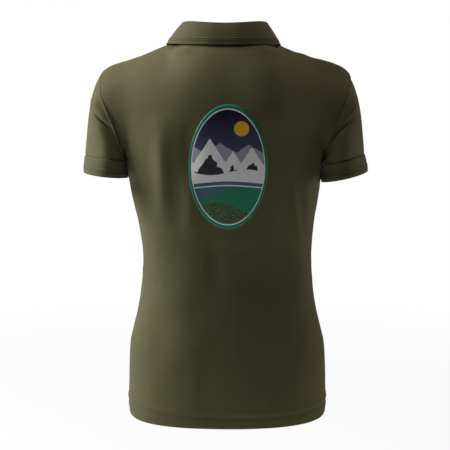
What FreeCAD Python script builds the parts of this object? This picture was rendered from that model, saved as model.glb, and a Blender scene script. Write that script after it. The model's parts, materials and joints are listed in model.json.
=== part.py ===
import FreeCAD, Part
import PartDesign, Sketcher
import math
import os

from FreeCAD import Placement, Rotation, Vector

# A women's short-sleeved pique polo shirt, filled out as it is worn, in millimetres.
# +X is the wearer's right, +Y the wearer's front and +Z up. The origin is on the neck's axis, level
# with the seam at the back of the neck. Every wall is one layer of knit, and what is sewn on top of
# another layer lies face to face with it.

doc = FreeCAD.newDocument("polo_shirt")
sheet = doc.addObject("Spreadsheet::Sheet", "Sizes")
nodes = []


def put(table):
    """Writes rows of (alias, value, meaning) under what the sheet already holds."""
    for alias, value, meaning in table:
        row = put.row
        sheet.set("A%d" % row, meaning)
        sheet.set("B%d" % row, str(value))
        sheet.setAlias("B%d" % row, alias)
        put.row += 1
    doc.recompute()


put.row = 1


def size(alias):
    return float(sheet.get(alias))


put([
    ("cloth", 1.2, "thickness of the pique knit"),
    ("rib_cloth", 1.6, "thickness of the flat-knitted rib of collar and cuffs"),
    ("print_film", 0.3, "thickness of the print on the back"),
    ("overrun", 6.0, "how far a cutting solid runs past what it cuts"),
    ("body_length", 631.0, "neck seam to hem"),
    ("skirt_rise", 42.0, "hem up to the lower skirt"),
    ("hip_rise", 88.0, "hem up to the fullest of the hip"),
    ("seat_rise", 140.0, "hem up to where the skirt begins to draw in"),
    ("chest_half_width", 160.0, "half the body's width under the arms"),
    ("armpit_flare", 4.0, "how much wider the body is at the armpit"),
    ("underarm_gap", 4.0, "between the body and the inside of the sleeve"),
    ("armhole_top", 205.0, "middle to the armhole seam on the shoulder"),
    ("shoulder_drop", 50.0, "neck seam down to the shoulder point"),
    ("across_back_drop", 91.0, "neck seam down to the widest of the back"),
    ("armpit_drop", 176.0, "neck seam down to the armpit"),
    ("neckline_half_width", 80.0, "half the neckline's width"),
    ("neck_back", 60.0, "neck axis to the neckline at the back"),
    ("neck_front", 62.0, "neck axis to the neckline in front"),
    ("cuff_drop", 229.0, "neck seam down to the middle of the sleeve's edge"),
    ("edge_tilt", 7.0, "degrees by which the sleeve's edge rises outwards"),
    ("cuff_height", 30.0, "height of the rib cuff"),
    ("hem_height", 20.0, "height of the turned-up hem"),
    ("stand_height", 30.0, "height of the collar's stand in front"),
    ("seam_depth", 4.0, "how far the stand runs down behind the neckline's edge"),
    ("collar_gap", 3.0, "between the ends of the stand"),
    ("leaf_gap", 0.3, "between the collar's leaf and the cloth under it"),
    ("fold_depth", 3.0, "height of the roll where stand turns into leaf"),
    ("collar_rise", 33.0, "neck seam up to the collar's fold"),
    ("leaf_drop", 10.0, "neck seam down to the edge of the collar's leaf at the back"),
    ("leaf_front_drop", 104.0, "neck seam down to the collar's points"),
    ("fold_front_drop", 46.0, "neck seam down to the collar's fold in front"),
    ("collar_spread", 34.0, "middle to a collar point"),
    ("placket_width", 27.0, "width of the button placket"),
    ("placket_length", 158.0, "front neck point to the placket's end"),
    ("front_neck_drop", 74.0, "neck seam down to the front neck point"),
    ("button_radius", 5.5, "radius of a button"),
    ("button_thickness", 2.2, "thickness of a button"),
    ("button_gap", 0.2, "between a button and the placket under it"),
    ("first_button", 14.0, "front neck point down to the first button"),
    ("last_button", 18.0, "last button down to the placket's end"),
    ("thread_hole_radius", 0.9, "radius of a thread hole"),
    ("thread_hole_circle", 1.6, "button's middle to a thread hole's middle"),
    ("print_width", 128.0, "width of the print"),
    ("print_height", 204.0, "height of the print"),
    ("print_drop", 200.0, "neck seam down to the middle of the print"),
    ("tape_height", 14.0, "height of the neck tape"),
    ("tape_cloth", 0.8, "thickness of the neck tape"),
])

# The body's level rings: half width across, depth behind and in front of the neck's axis, and how far
# the wall there leans towards lying flat, from 0 for upright to 1 for a level shoulder.
BODY = [
    # name, drop below the neck seam, half width, back depth, front depth, lean
    ("hem", "body_length", 165.5, 117.0, 106.0, 0.0),
    ("skirt", "body_length - skirt_rise", 165.0, 117.0, 106.0, 0.0),
    ("hip", "body_length - hip_rise", 164.0, 116.0, 106.0, 0.0),
    ("seat", "body_length - seat_rise", 157.0, 109.0, 103.0, 0.0),
    ("loin", "loin_drop", 146.0, 95.0, 96.0, 0.0),
    ("waist", "waist_drop", 140.0, 87.0, 93.0, 0.0),
    ("rib", "rib_drop", 147.0, 98.0, 112.0, 0.0),
    ("chest", "chest_drop", "chest_half_width", 109.0, 126.0, 0.0),
    ("armpit", "armpit_drop", "chest_half_width + armpit_flare", 112.0, 112.0, 0.0),
    ("blade", "blade_drop", 193.0, 108.0, 94.0, 0.0),
    ("widest", "across_back_drop", 213.0, 98.0, 72.0, 0.0),
    ("shoulder", "shoulder_drop + 6", 206.0, 87.0, 58.0, 0.6),
    ("slope", "slope_drop", 160.0, 79.0, 48.0, 0.95),
    ("yoke", "yoke_drop", 118.0, 71.0, 41.0, 0.95),
    ("neck", "neck_drop", 86.0, 63.0, 36.0, 0.9),
]
put([
    ("loin_drop", 425.0, "neck seam down to the loin"),
    ("waist_drop", 366.0, "neck seam down to the waist"),
    ("rib_drop", 295.0, "neck seam down to the lower ribs"),
    ("chest_drop", 228.0, "neck seam down to the bust"),
    ("blade_drop", 132.0, "neck seam down to the shoulder blades"),
    ("slope_drop", 34.0, "neck seam down to the middle of the shoulder"),
    ("yoke_drop", 18.5, "neck seam down to the inner shoulder"),
    ("neck_drop", 4.0, "neck seam down to the neckline at the side"),
])

# A sleeve's rings, from its edge to the shoulder: drop below the neck seam, half width across, half
# depth front to back, how far the ring lies inward of the cuff, how far its wall leans, and the share
# of the cuff's tilt that the ring has.
SLEEVE = [
    # name, drop, half width, half depth, inward, lean, tilt
    ("cuff", "cuff_drop", 37.0, 57.0, 0.0, 0.0, 1.0),
    ("upper_arm", "upper_arm_drop", 36.0, 60.0, 3.0, 0.0, 0.6),
    ("arm_top", "arm_top_drop", 42.0, 62.0, 12.5, 0.0, 0.0),
    ("cap", "cap_drop", 40.0, 53.0, 19.0, 0.35, 0.0),
    ("crown", "crown_drop", 30.0, 40.0, 20.0, 0.8, 0.0),
    ("peak", "peak_drop", 16.0, 26.0, 16.0, 0.95, 0.0),
]
put([
    ("upper_arm_drop", 180.0, "neck seam down to the upper arm"),
    ("arm_top_drop", 125.0, "neck seam down to the top of the arm"),
    ("cap_drop", 86.0, "neck seam down to the sleeve's cap"),
    ("crown_drop", 62.0, "neck seam down to the crown of the cap"),
    ("peak_drop", 50.5, "neck seam down to the top of the cap"),
    ("sleeve_set_back", 10.0, "how far behind the neck's axis the sleeve hangs"),
])


def bound(text):
    """An expression over aliases, as the sheet's cells."""
    words = text.replace("(", " ( ").replace(")", " ) ").split()
    known = {sheet.getAlias("B%d" % row) for row in range(1, put.row)}
    return " ".join("Sizes." + word if word in known else word for word in words)


def ring_cells(table, columns):
    """Stores a ring table's own numbers in the sheet and returns each ring as expressions."""
    rings = []
    for name, drop, *values in table:
        ring = {"name": name, "drop": bound(drop)}
        for column, value in zip(columns, values):
            if isinstance(value, str):
                ring[column] = bound(value)
                continue
            alias = "%s_%s" % (name, column)
            put([(alias, value, "%s ring: %s" % (name, column.replace("_", " ")))])
            ring[column] = "Sizes." + alias
        rings.append(ring)
    return rings


body_rings = ring_cells(BODY, ["half_width", "back_depth", "front_depth", "lean"])
sleeve_rings = ring_cells(SLEEVE, ["half_width", "half_depth", "inward", "lean", "tilt"])


def loft(name, sections):
    made = doc.addObject("Part::Loft", name)
    made.Sections = sections
    made.Solid = True
    made.Ruled = False
    return made


def ellipse(name, major, minor, place, turned=False):
    """An ellipse bound to the sheet. place holds the expressions of its x, y and z."""
    made = doc.addObject("Part::Ellipse", name)
    if turned:
        made.Placement = Placement(Vector(), Rotation(Vector(0, 0, 1), 90))
    made.setExpression("MajorRadius", major)
    made.setExpression("MinorRadius", minor)
    for axis, text in zip("xyz", place):
        made.setExpression(".Placement.Base." + axis, text)
    return made


def body_form(label, inset, runs_on):
    """The filled body, its walls moved in by inset. One that cuts another runs on past the hem."""
    sections = []
    for number, ring in enumerate(body_rings):
        level = "(%s) * sqrt(1 - %s ^ 2)" % (inset, ring["lean"])
        sink = "(%s) * %s" % (inset, ring["lean"])
        past = " - Sizes.overrun" if runs_on and number == 0 else ""
        sections.append(ellipse(
            "%s_%s" % (label, ring["name"]),
            "%s - %s" % (ring["half_width"], level),
            "(%s + %s) / 2 - %s" % (ring["front_depth"], ring["back_depth"], level),
            ("0", "(%s - %s) / 2" % (ring["front_depth"], ring["back_depth"]),
             "-(%s) - %s%s" % (ring["drop"], sink, past)),
        ))
    return loft(label, sections)


def sleeve_form(label, side, inset, runs_on):
    """A filled sleeve on one side, -1 for the wearer's left and 1 for the right."""
    sections = []
    centre = bound("chest_half_width + armpit_flare + underarm_gap") + " + Sizes.cuff_half_width"
    for number, ring in enumerate(sleeve_rings):
        level = "(%s) * sqrt(1 - %s ^ 2)" % (inset, ring["lean"])
        sink = "(%s) * %s" % (inset, ring["lean"])
        past = " - Sizes.overrun" if runs_on and number == 0 else ""
        made = ellipse(
            "%s_%s" % (label, ring["name"]),
            "%s - %s" % (ring["half_depth"], level),
            "%s - %s" % (ring["half_width"], level),
            ("%d * (%s - %s)" % (side, centre, ring["inward"]), "-Sizes.sleeve_set_back",
             "-(%s) - %s%s" % (ring["drop"], sink, past)),
            turned=True,
        )
        tilt = -side * size("edge_tilt") * size(ring["tilt"].split(".")[1])
        made.Placement = Placement(
            made.Placement.Base, Rotation(Vector(0, 1, 0), tilt) * Rotation(Vector(0, 0, 1), 90)
        )
        sections.append(made)
    return loft(label, sections)


def fuse(name, shapes):
    made = doc.addObject("Part::MultiFuse", name)
    made.Shapes = shapes
    return made


def cut(name, base, tool):
    made = doc.addObject("Part::Cut", name)
    made.Base = base
    made.Tool = tool
    return made


def common(name, base, tool):
    made = doc.addObject("Part::Common", name)
    made.Base = base
    made.Tool = tool
    return made


def whole_form(label, inset, runs_on=True):
    """Body and both sleeves as one solid."""
    parts = [body_form(label + "_body", inset, runs_on)]
    for side, word in ((-1, "left"), (1, "right")):
        parts.append(sleeve_form("%s_%s" % (label, word), side, inset, runs_on))
    return fuse(label, parts)


def box(name, low, high):
    """A box between two corners, each given as three expressions."""
    made = doc.addObject("Part::Box", name)
    for letter, length, lo, hi in zip("xyz", ("Length", "Width", "Height"), low, high):
        made.setExpression(".Placement.Base." + letter, lo)
        made.setExpression(length, "(%s) - (%s)" % (hi, lo))
    return made


def outline(name, plane, points):
    """A closed outline on one of the origin planes. Each point is two expressions."""
    body = doc.addObject("PartDesign::Body", name)
    sketch = body.newObject("Sketcher::SketchObject", name + "_outline")
    plane = next(item for item in body.Origin.OriginFeatures if item.Role == plane)
    sketch.AttachmentSupport = [(plane, "")]
    sketch.MapMode = "FlatFace"
    probe = doc.addObject("App::FeaturePython", name + "_probe")
    probe.addProperty("App::PropertyFloat", "Value")
    spots = []
    for point in points:
        spot = []
        for text in point:
            probe.setExpression("Value", text)
            doc.recompute()
            spot.append(float(probe.Value))
        spots.append(Vector(spot[0], spot[1], 0))
    doc.removeObject(probe.Name)
    for start, end in zip(spots, spots[1:] + spots[:1]):
        sketch.addGeometry(Part.LineSegment(start, end), False)
    for number in range(len(spots)):
        following = (number + 1) % len(spots)
        sketch.addConstraint(Sketcher.Constraint("Coincident", number, 2, following, 1))
    for number, (point, spot) in enumerate(zip(points, spots)):
        for kind, text, value in zip(("DistanceX", "DistanceY"), point, spot):
            index = sketch.addConstraint(Sketcher.Constraint(kind, -1, 1, number, 1, value))
            sketch.setExpression("Constraints[%d]" % index, text)
    return body, sketch


def prism(name, plane, points, length, both=True):
    """An outline padded to both sides of its plane."""
    body, sketch = outline(name, plane, points)
    pad = body.newObject("PartDesign::Pad", name + "_pad")
    pad.Profile = sketch
    pad.Midplane = both
    pad.setExpression("Length", length)
    sketch.Visibility = False
    body.Tip = pad
    return body


def rib_form(label, rings, inset):
    """A filled collar form between its rings, moved in by inset."""
    sections = []
    for ring in rings:
        name, rise, half_width, back, front = ring
        sections.append(ellipse(
            "%s_%s" % (label, name),
            "(%s) - (%s)" % (half_width, inset),
            "((%s) + (%s)) / 2 - (%s)" % (back, front, inset),
            ("0", "((%s) - (%s)) / 2" % (front, back), rise),
        ))
    return loft(label, sections)


def both_sides(points):
    """An outline given for the +X side, closed with its mirror image."""
    return points + [("-(%s)" % x, y) for x, y in reversed(points)]


def node(name, shape):
    shape.Label = name
    nodes.append((name, shape))
    return shape


def aliased(points):
    return [tuple(bound(text) for text in point) for point in points]


# The cloth of body and sleeves, before it is cut into panels.
outside = whole_form("outside", "0", runs_on=False)
inside = whole_form("inside", "Sizes.cloth")
shell = cut("shell", outside, inside)

# The collar's stand is the neckline's shape, from below the front neck point up to the fold.
STAND = [
    # name, height over the neck seam, half width, back depth, front depth
    ("stand_foot", "-(front_neck_drop + seam_depth + overrun)",
     "neckline_half_width", "neck_back", "neck_front"),
    ("stand_seam", "0", "neckline_half_width", "neck_back", "neck_front"),
    ("stand_top", "collar_rise + overrun", "neckline_half_width - 10", "neck_back - 10", "neck_front - 9"),
]
stand_rings = [aliased([ring])[0] for ring in STAND]
stand_outer = rib_form("stand_outer", stand_rings, "0")
opened = cut("opened_shell", shell, stand_outer)

# The armhole seams, seen from the back, part the sleeves from the body.
ARMHOLE = [
    ("armhole_top", "collar_rise"),
    ("armhole_top", "-(shoulder_drop)"),
    ("armhole_top + 6", "-(across_back_drop)"),
    ("armhole_top - 11", "-(blade_drop)"),
    ("chest_half_width + armpit_flare + 12", "-(armpit_drop - 11)"),
    ("chest_half_width + armpit_flare + underarm_gap * 0.35", "-(armpit_drop + 8)"),
    ("chest_half_width + armpit_flare + underarm_gap * 0.35", "-(cuff_drop + overrun)"),
    ("2 * chest_half_width", "-(waist_drop)"),
    ("2 * chest_half_width", "-(body_length + overrun)"),
]
torso = prism("torso", "XZ_Plane", both_sides(aliased(ARMHOLE)), "4 * Sizes.chest_half_width")
body_cloth = common("body_cloth", opened, torso)
sleeve_cloth = cut("sleeve_cloth", opened, torso)


# Side and shoulder seams lie in the plane of the neck's axis.
reach = "2 * Sizes.body_length"
behind = box("behind", ("-(%s)" % reach, "-(%s)" % reach, "-(%s)" % reach), (reach, "0", reach))
leftward = box("leftward", ("-(%s)" % reach, "-(%s)" % reach, "-(%s)" % reach), ("0", reach, reach))
slit = box(
    "slit",
    ("-0.5 * Sizes.cloth", "0", bound("-(front_neck_drop + placket_length - placket_width)")),
    ("0.5 * Sizes.cloth", reach, "0"),
)
node("back_panel", common("back_panel_cloth", body_cloth, behind))
node("front_panel", cut("front_panel_cloth", cut("front_half", body_cloth, behind), slit))

# The cuffs take up the lowest part of the sleeves, level with their slanting edges.
centre = bound("chest_half_width + armpit_flare + underarm_gap") + " + Sizes.cuff_half_width"
cuff_seam = "%d * 2 * Sizes.cuff_half_width * tan(Sizes.edge_tilt)"
cuff_top = bound("-(cuff_drop) + cuff_height")
cuff_zone = prism("cuff_zone", "XZ_Plane", both_sides([
    ("%s - 2 * Sizes.cuff_half_width" % centre, "%s + %s" % (cuff_top, cuff_seam % -1)),
    ("%s + 2 * Sizes.cuff_half_width" % centre, "%s + %s" % (cuff_top, cuff_seam % 1)),
    ("%s + 2 * Sizes.cuff_half_width" % centre, bound("-(body_length)")),
]), "4 * Sizes.chest_half_width")
cuff_cloth = common("cuff_cloth", sleeve_cloth, cuff_zone)
upper_sleeves = cut("upper_sleeves", sleeve_cloth, cuff_zone)
for word, pick in (("left", common), ("right", cut)):
    node("sleeve_" + word, pick("sleeve_cloth_" + word, upper_sleeves, leftward))
    node("cuff_" + word, pick("cuff_cloth_" + word, cuff_cloth, leftward))

# The hem is turned up inside, face to face with the panels.
hem_zone = box(
    "hem_zone",
    ("-(%s)" % reach, "-(%s)" % reach, bound("-(body_length)")),
    (reach, reach, bound("-(body_length) + hem_height")),
)
lining = body_form("lining", "2 * Sizes.cloth", True)
inner_body = body_form("inner_body", "Sizes.cloth", True)
turned = common("turned_hem", cut("lining_cloth", inner_body, lining), hem_zone)
node("hem_back", common("hem_back_cloth", turned, behind))
node("hem_front", cut("hem_front_cloth", turned, behind))

# The placket: an upper band outside the front panel, an under band inside it.
placket_zone = box(
    "placket_zone",
    ("-0.5 * Sizes.placket_width", "0", bound("-(front_neck_drop + placket_length)")),
    ("0.5 * Sizes.placket_width", reach, "0"),
)
outer_body = body_form("outer_body", "0", True)
raised = body_form("raised", "-Sizes.cloth", True)
placket_post = cut("placket_post", placket_zone, stand_outer)
upper_band = common("placket_upper_cloth", cut("raised_cloth", raised, outer_body), placket_post)
node("placket_upper", upper_band)
node("placket_under", common("placket_under_cloth", cut("sunk_cloth", inner_body, lining), placket_post))

# The collar: a stand round the neckline that turns over at the fold into a leaf.
LEAF = [
    ("leaf_top", "collar_rise + overrun", "neckline_half_width - 7.5", "neck_back - 7.5", "neck_front - 6"),
    ("leaf_edge", "-(leaf_drop)", "neckline_half_width + 18", "neck_back + 10", "neck_front + 3"),
    ("leaf_chest", "-(front_neck_drop * 0.75)",
     "neckline_half_width + 40", "neck_back + 25", "neck_front + 8"),
    ("leaf_foot", "-(leaf_front_drop + overrun)",
     "neckline_half_width + 50", "neck_back + 40", "neck_front + 26"),
]
leaf_rings = [aliased([ring])[0] for ring in LEAF]
FOLD = [
    ("-2 * neck_back", "collar_rise"),
    ("0", "collar_rise - 2"),
    ("neck_front * 0.5", "collar_rise * 0.4"),
    ("neck_front * 0.75", "-(fold_front_drop * 0.25)"),
    ("neck_front + 5", "-(fold_front_drop)"),
    ("neck_front * 2", "-(fold_front_drop * 1.1)"),
]
STAND_EDGE = [
    ("neck_front * 2", "-(front_neck_drop + seam_depth)"),
    ("neck_front + 2", "-(fold_front_drop + stand_height)"),
    ("neck_front * 0.75", "-(fold_front_drop * 0.25 + stand_height)"),
    ("neck_front * 0.5", "-(seam_depth * 4.5)"),
    ("0", "-(seam_depth * 2)"),
    ("-2 * neck_back", "-(seam_depth * 2)"),
]
LEAF_EDGE = [
    ("neck_front * 2", "-(leaf_front_drop)"),
    ("neck_front + 8", "-(leaf_front_drop - 6)"),
    ("neck_front * 0.6", "-(leaf_front_drop * 0.5)"),
    ("0", "-(leaf_drop)"),
    ("-2 * neck_back", "-(leaf_drop)"),
]
DEEP = [("neck_front * 2", "-(body_length)"), ("-2 * neck_back", "-(body_length)")]
HOLLOW = [(y, "(%s) - fold_depth" % z) for y, z in FOLD]
across = "4 * Sizes.chest_half_width"
below_fold = prism("below_fold", "YZ_Plane", aliased(FOLD + DEEP), across)
below_stand = prism("below_stand", "YZ_Plane", aliased(STAND_EDGE + DEEP[::-1]), across)
below_leaf = prism("below_leaf", "YZ_Plane", aliased(LEAF_EDGE + DEEP[::-1]), across)
hollow_zone = prism("hollow_zone", "YZ_Plane", aliased(HOLLOW + DEEP), across)
stand_inner = rib_form("stand_inner", stand_rings, "Sizes.rib_cloth")
leaf_outer = rib_form("leaf_outer", leaf_rings, "0")
leaf_inner = rib_form("leaf_inner", leaf_rings, "Sizes.rib_cloth")
clear = body_form("clear", "-Sizes.leaf_gap", True)
collar_block = common("collar_block", cut("collar_wall", leaf_outer, stand_inner), below_fold)
hollow = common("hollow", cut("between", leaf_inner, stand_outer), hollow_zone)
double = cut("double", collar_block, hollow)
on_body = cut("on_body", double, cut("body_clearance", clear, stand_outer))
leaf_trimmed = cut("leaf_trimmed", on_body, cut("under_leaf", below_leaf, stand_outer))
both_trimmed = cut("both_trimmed", leaf_trimmed, below_stand)
stand_gap = box(
    "stand_gap",
    ("-0.5 * Sizes.collar_gap", "0", "-(%s)" % reach), ("0.5 * Sizes.collar_gap", reach, reach),
)
spread = prism("spread", "XZ_Plane", both_sides(aliased([
    ("collar_gap * 0.2", "-(fold_front_drop - collar_gap)"),
    ("collar_gap * 0.8", "-(fold_front_drop + fold_depth)"),
    ("collar_spread", "-(leaf_front_drop)"),
    ("collar_spread", "-(leaf_front_drop + overrun)"),
])), "4 * Sizes.chest_half_width")
leaf_gap = cut("leaf_gap", cut("spread_front", spread, behind), stand_outer)
node("collar", cut("collar_band", cut("collar_open", both_trimmed, stand_gap), leaf_gap))

# A tape covers the neck seam inside the collar, from shoulder to shoulder.
tape_inner = rib_form("tape_inner", stand_rings, "Sizes.rib_cloth + Sizes.tape_cloth")
tape_zone = box(
    "tape_zone",
    ("-(%s)" % reach, "-(%s)" % reach, bound("0.3 * tape_height") + " - Sizes.tape_height"),
    (reach, "0.2 * Sizes.neck_front", bound("0.3 * tape_height")),
)
node("neck_tape", common("neck_tape_cloth", cut("tape_cloth_ring", stand_inner, tape_inner), tape_zone))

# The print is a thin oval on the back.
print_outline = ellipse(
    "print_outline", "Sizes.print_height / 2", "Sizes.print_width / 2", ("0", "0", "-Sizes.print_drop"),
)
print_outline.Placement = Placement(
    print_outline.Placement.Base, Rotation(Vector(1, 0, 0), 90) * Rotation(Vector(0, 0, 1), 90)
)
print_post = doc.addObject("Part::Extrusion", "print_post")
print_post.Base = print_outline
print_post.DirMode = "Custom"
print_post.Dir = Vector(0, -1, 0)
print_post.Solid = True
print_post.setExpression("LengthFwd", reach)
film = body_form("film", "-Sizes.print_film", True)
node("back_print", common("print_cloth", cut("film_cloth", film, outer_body), print_post))

# Four-hole buttons stand on the upper placket, one below another.
doc.recompute()
placket = doc.getObject("placket_upper_cloth").Shape
BUTTON_COUNT = 4
button_pitch = "(Sizes.placket_length - Sizes.first_button - Sizes.last_button) / %d" % (BUTTON_COUNT - 1)
pitch = (size("placket_length") - size("first_button") - size("last_button")) / (BUTTON_COUNT - 1)


def front_of(height):
    """How far out the placket's surface lies at a height."""
    beam = Part.makeLine(Vector(0, 0, height), Vector(0, size("body_length"), height))
    return max(vertex.Point.y for vertex in placket.common(beam).Vertexes)


for number in range(BUTTON_COUNT):
    name = "button_%d" % (number + 1)
    body = doc.addObject("PartDesign::Body", name + "_body")
    plane = next(item for item in body.Origin.OriginFeatures if item.Role == "XZ_Plane")
    rim = body.newObject("Sketcher::SketchObject", name + "_rim")
    rim.AttachmentSupport = [(plane, "")]
    rim.MapMode = "FlatFace"
    rim.addGeometry(Part.Circle(Vector(), Vector(0, 0, 1), size("button_radius")), False)
    rim.addConstraint(Sketcher.Constraint("Coincident", 0, 3, -1, 1))
    rim.addConstraint(Sketcher.Constraint("Radius", 0, size("button_radius")))
    rim.setExpression("Constraints[1]", "Sizes.button_radius")
    disc = body.newObject("PartDesign::Pad", name + "_disc")
    disc.Profile = rim
    disc.Reversed = True
    disc.setExpression("Length", "Sizes.button_thickness")
    hole = body.newObject("Sketcher::SketchObject", name + "_hole")
    hole.AttachmentSupport = [(plane, "")]
    hole.MapMode = "FlatFace"
    centre = Vector(size("thread_hole_circle"), 0, 0)
    hole.addGeometry(Part.Circle(centre, Vector(0, 0, 1), size("thread_hole_radius")), False)
    hole.addConstraint(Sketcher.Constraint("PointOnObject", 0, 3, -1))
    hole.addConstraint(Sketcher.Constraint("DistanceX", -1, 1, 0, 3, size("thread_hole_circle")))
    hole.addConstraint(Sketcher.Constraint("Radius", 0, size("thread_hole_radius")))
    hole.setExpression("Constraints[1]", "Sizes.thread_hole_circle")
    hole.setExpression("Constraints[2]", "Sizes.thread_hole_radius")
    bore = body.newObject("PartDesign::Pocket", name + "_bore")
    bore.Profile = hole
    bore.Type = "ThroughAll"
    bore.Midplane = True
    ring = body.newObject("PartDesign::PolarPattern", name + "_bores")
    ring.Originals = [bore]
    ring.Axis = (hole, ["N_Axis"])
    ring.Angle = 360
    ring.Occurrences = 4
    body.Tip = ring
    drop = "Sizes.front_neck_drop + Sizes.first_button + %d * %s" % (number, button_pitch)
    height = -(size("front_neck_drop") + size("first_button") + number * pitch)
    lean = math.degrees(math.atan2(front_of(height - 5) - front_of(height + 5), 10))
    body.Placement = Placement(
        Vector(0, front_of(height) + size("button_gap"), height), Rotation(Vector(1, 0, 0), lean)
    )
    body.setExpression(".Placement.Base.z", "-(%s)" % drop)
    node(name, body)

doc.recompute()
faults = [item.Label for item in doc.Objects if "Invalid" in item.State or "Error" in item.State]
for name, shape in nodes:
    if shape.Shape.isNull() or not shape.Shape.isValid() or not shape.Shape.Solids:
        faults.append(name)
if faults:
    raise SystemExit("not built: " + ", ".join(faults))
os.makedirs("parts", exist_ok=True)
for name, shape in nodes:
    shape.Shape.exportStep("parts/%s.step" % name)
    print(name, len(shape.Shape.Solids), round(shape.Shape.Volume))
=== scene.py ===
import json
import math

import bpy
from mathutils import Matrix, Vector, noise
from mathutils.bvhtree import BVHTree
from mathutils.kdtree import KDTree

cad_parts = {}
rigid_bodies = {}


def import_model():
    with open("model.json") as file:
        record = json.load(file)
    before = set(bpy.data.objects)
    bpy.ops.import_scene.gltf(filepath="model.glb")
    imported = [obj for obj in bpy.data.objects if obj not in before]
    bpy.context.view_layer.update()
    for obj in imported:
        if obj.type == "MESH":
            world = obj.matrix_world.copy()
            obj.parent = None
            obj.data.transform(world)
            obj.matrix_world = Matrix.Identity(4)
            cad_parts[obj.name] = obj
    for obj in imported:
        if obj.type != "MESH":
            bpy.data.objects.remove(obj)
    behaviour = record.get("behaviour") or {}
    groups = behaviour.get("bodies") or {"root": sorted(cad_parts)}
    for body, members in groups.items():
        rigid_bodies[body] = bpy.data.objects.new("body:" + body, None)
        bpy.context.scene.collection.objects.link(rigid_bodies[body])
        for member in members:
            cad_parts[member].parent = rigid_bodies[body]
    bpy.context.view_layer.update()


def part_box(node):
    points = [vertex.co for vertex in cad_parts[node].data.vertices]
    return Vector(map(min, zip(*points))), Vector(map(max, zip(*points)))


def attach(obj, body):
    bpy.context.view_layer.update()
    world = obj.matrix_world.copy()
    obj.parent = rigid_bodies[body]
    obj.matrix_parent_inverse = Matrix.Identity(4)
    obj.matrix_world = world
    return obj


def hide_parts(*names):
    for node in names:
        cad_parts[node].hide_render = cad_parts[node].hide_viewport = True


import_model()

# Tables of paths are in millimetres: x is the wearer's right, y the front, z up from the neck seam.
# What goes on the mesh is in metres.
bodyCut = {
    "columns": 72,          # across one panel, half of them each side of the middle
    "skirtRows": 84,        # hem to underarm
    "yokeRows": 44,         # underarm to shoulder
    "underarm": -193.0,
    "hem": -631.0,
    "sideRise": 9.0,        # how far the hem rises towards the side seams
    "squareness": 2.35,     # 2 is an ellipse, more is boxier
    "cloth": 1.1,           # thickness of the pique
    "cornerBlur": 0.34,     # share of the top edge over which the neck's corner is eased in the cloth
    "blurSteps": 6,         # places that this takes in on each side
    "blurWidth": 3.4,       # width of the bell that weighs them, in such places
    "yokeClimb": 0.42,      # how long the yoke keeps the skirt's direction, as a share of its height
    "frontBow": 0.38,       # how long the front keeps its direction below the top edge
    "topMiddle": (0, 0.55, -0.9),   # that direction at the middle
    "topSide": (0, 0.95, -0.5),     # and at the shoulder
    # height, half width, back depth, front depth, shift towards the right
    "rings": [
        (-631, 166.0, 113, 103, 4.2), (-612, 168.0, 114, 104, 4.2), (-590, 167.5, 115, 104, 4.2),
        (-545, 166.5, 114, 104, 4.2), (-506, 164.0, 110, 103, 4.0), (-479, 158.0, 105, 101, 3.8),
        (-452, 151.5, 99, 98, 4.0), (-425, 146.5, 94, 96, 4.2), (-398, 143.5, 89, 94, 4.4),
        (-371, 142.0, 87, 93, 4.4), (-344, 142.5, 88, 97, 4.0), (-317, 145.5, 93, 105, 3.0),
        (-290, 149.5, 98, 113, 2.0), (-263, 155.0, 103, 121, 1.0), (-239, 159.0, 107, 125, 0.5),
        (-215, 161.5, 110, 123, 0.0), (-193, 164.0, 111, 118, 0.0),
    ],
}

# where a sleeve ends, on each side
sleeveCut = {
    "rows": 36,
    "cuffHeight": 30.0,
    "halfDepth": 56.0,
    "backRise": 1.5,        # how far the edge rises towards the back
    "forward": 0.55,        # turns the outer side towards the front, as an arm hangs
    "inward": 0.15,         # turns the side next to the body towards the back
    "leave": 0.34,          # how long the cloth keeps its direction at the armhole, as a share of its length
    "leaveLess": 0.10,      # how much less at the shoulder
    "arrive": 0.44,         # how long it keeps its direction at the cuff
    "underarm": (0.1, 0, -1.0),     # direction in which the cloth leaves the armhole, below
    "shoulder": (0.60, 0, -0.80),   # and above
    "Left": {"edge": (199.2, -9.0, -221.4), "halfWidth": 38.0, "tilt": 5.0},
    "Right": {"edge": (201.2, -9.0, -224.2), "halfWidth": 40.5, "tilt": 11.5},
}

# the armhole, from the underarm up the back and from the underarm up the front, to the shoulder
armholeBack = [
    (164, 0, -193), (165, -17, -193), (167.5, -36, -187), (171, -50, -174), (176, -56, -158),
    (181.5, -57, -142), (189, -54, -123), (198, -47, -102), (205, -36, -82), (207, -18, -65),
    (206, -5, -54.5), (203.5, 6, -48),
]
armholeFront = [
    (164, 0, -193), (165, 14, -191), (168, 30, -184), (172, 42, -172), (176, 50, -157), (182, 54, -140),
    (189, 54, -121), (197, 49, -101), (203, 40, -82), (206, 29, -66), (205.8, 17, -54.5),
    (203.5, 6, -48),
]
# the top edges, from the middle of the neckline to the shoulder
shoulderSeam = [
    (83, 6, -1.4), (100, 6, -6.6), (120, 6, -14.6), (143, 6, -24.1), (161, 6, -30), (178, 6, -35),
    (193, 6, -40.5), (203.5, 6, -48),
]
backTop = [
    (0, -60, -0.6), (22, -58.5, -0.2), (42, -52.5, 0.3), (58, -43, 0.5), (70, -29, 0.5), (77, -14, 0.2),
    (80, 0, -0.4), *shoulderSeam,
]
frontTop = [
    (0, 63, -71), (16, 61, -67), (32, 55.5, -57), (48, 46, -43), (62, 34, -28), (73, 20, -12),
    (80, 10, -3.5), *shoulderSeam,
]
# how far the back's cloth bows out below its top edge
yokeBow = [
    (0, -110, -53), (45, -108, -52), (90, -101, -50), (130, -91, -54), (165, -78, -64), (200, -64, -84),
]


def clear():
    bpy.ops.object.select_all(action="DESELECT")


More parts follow.
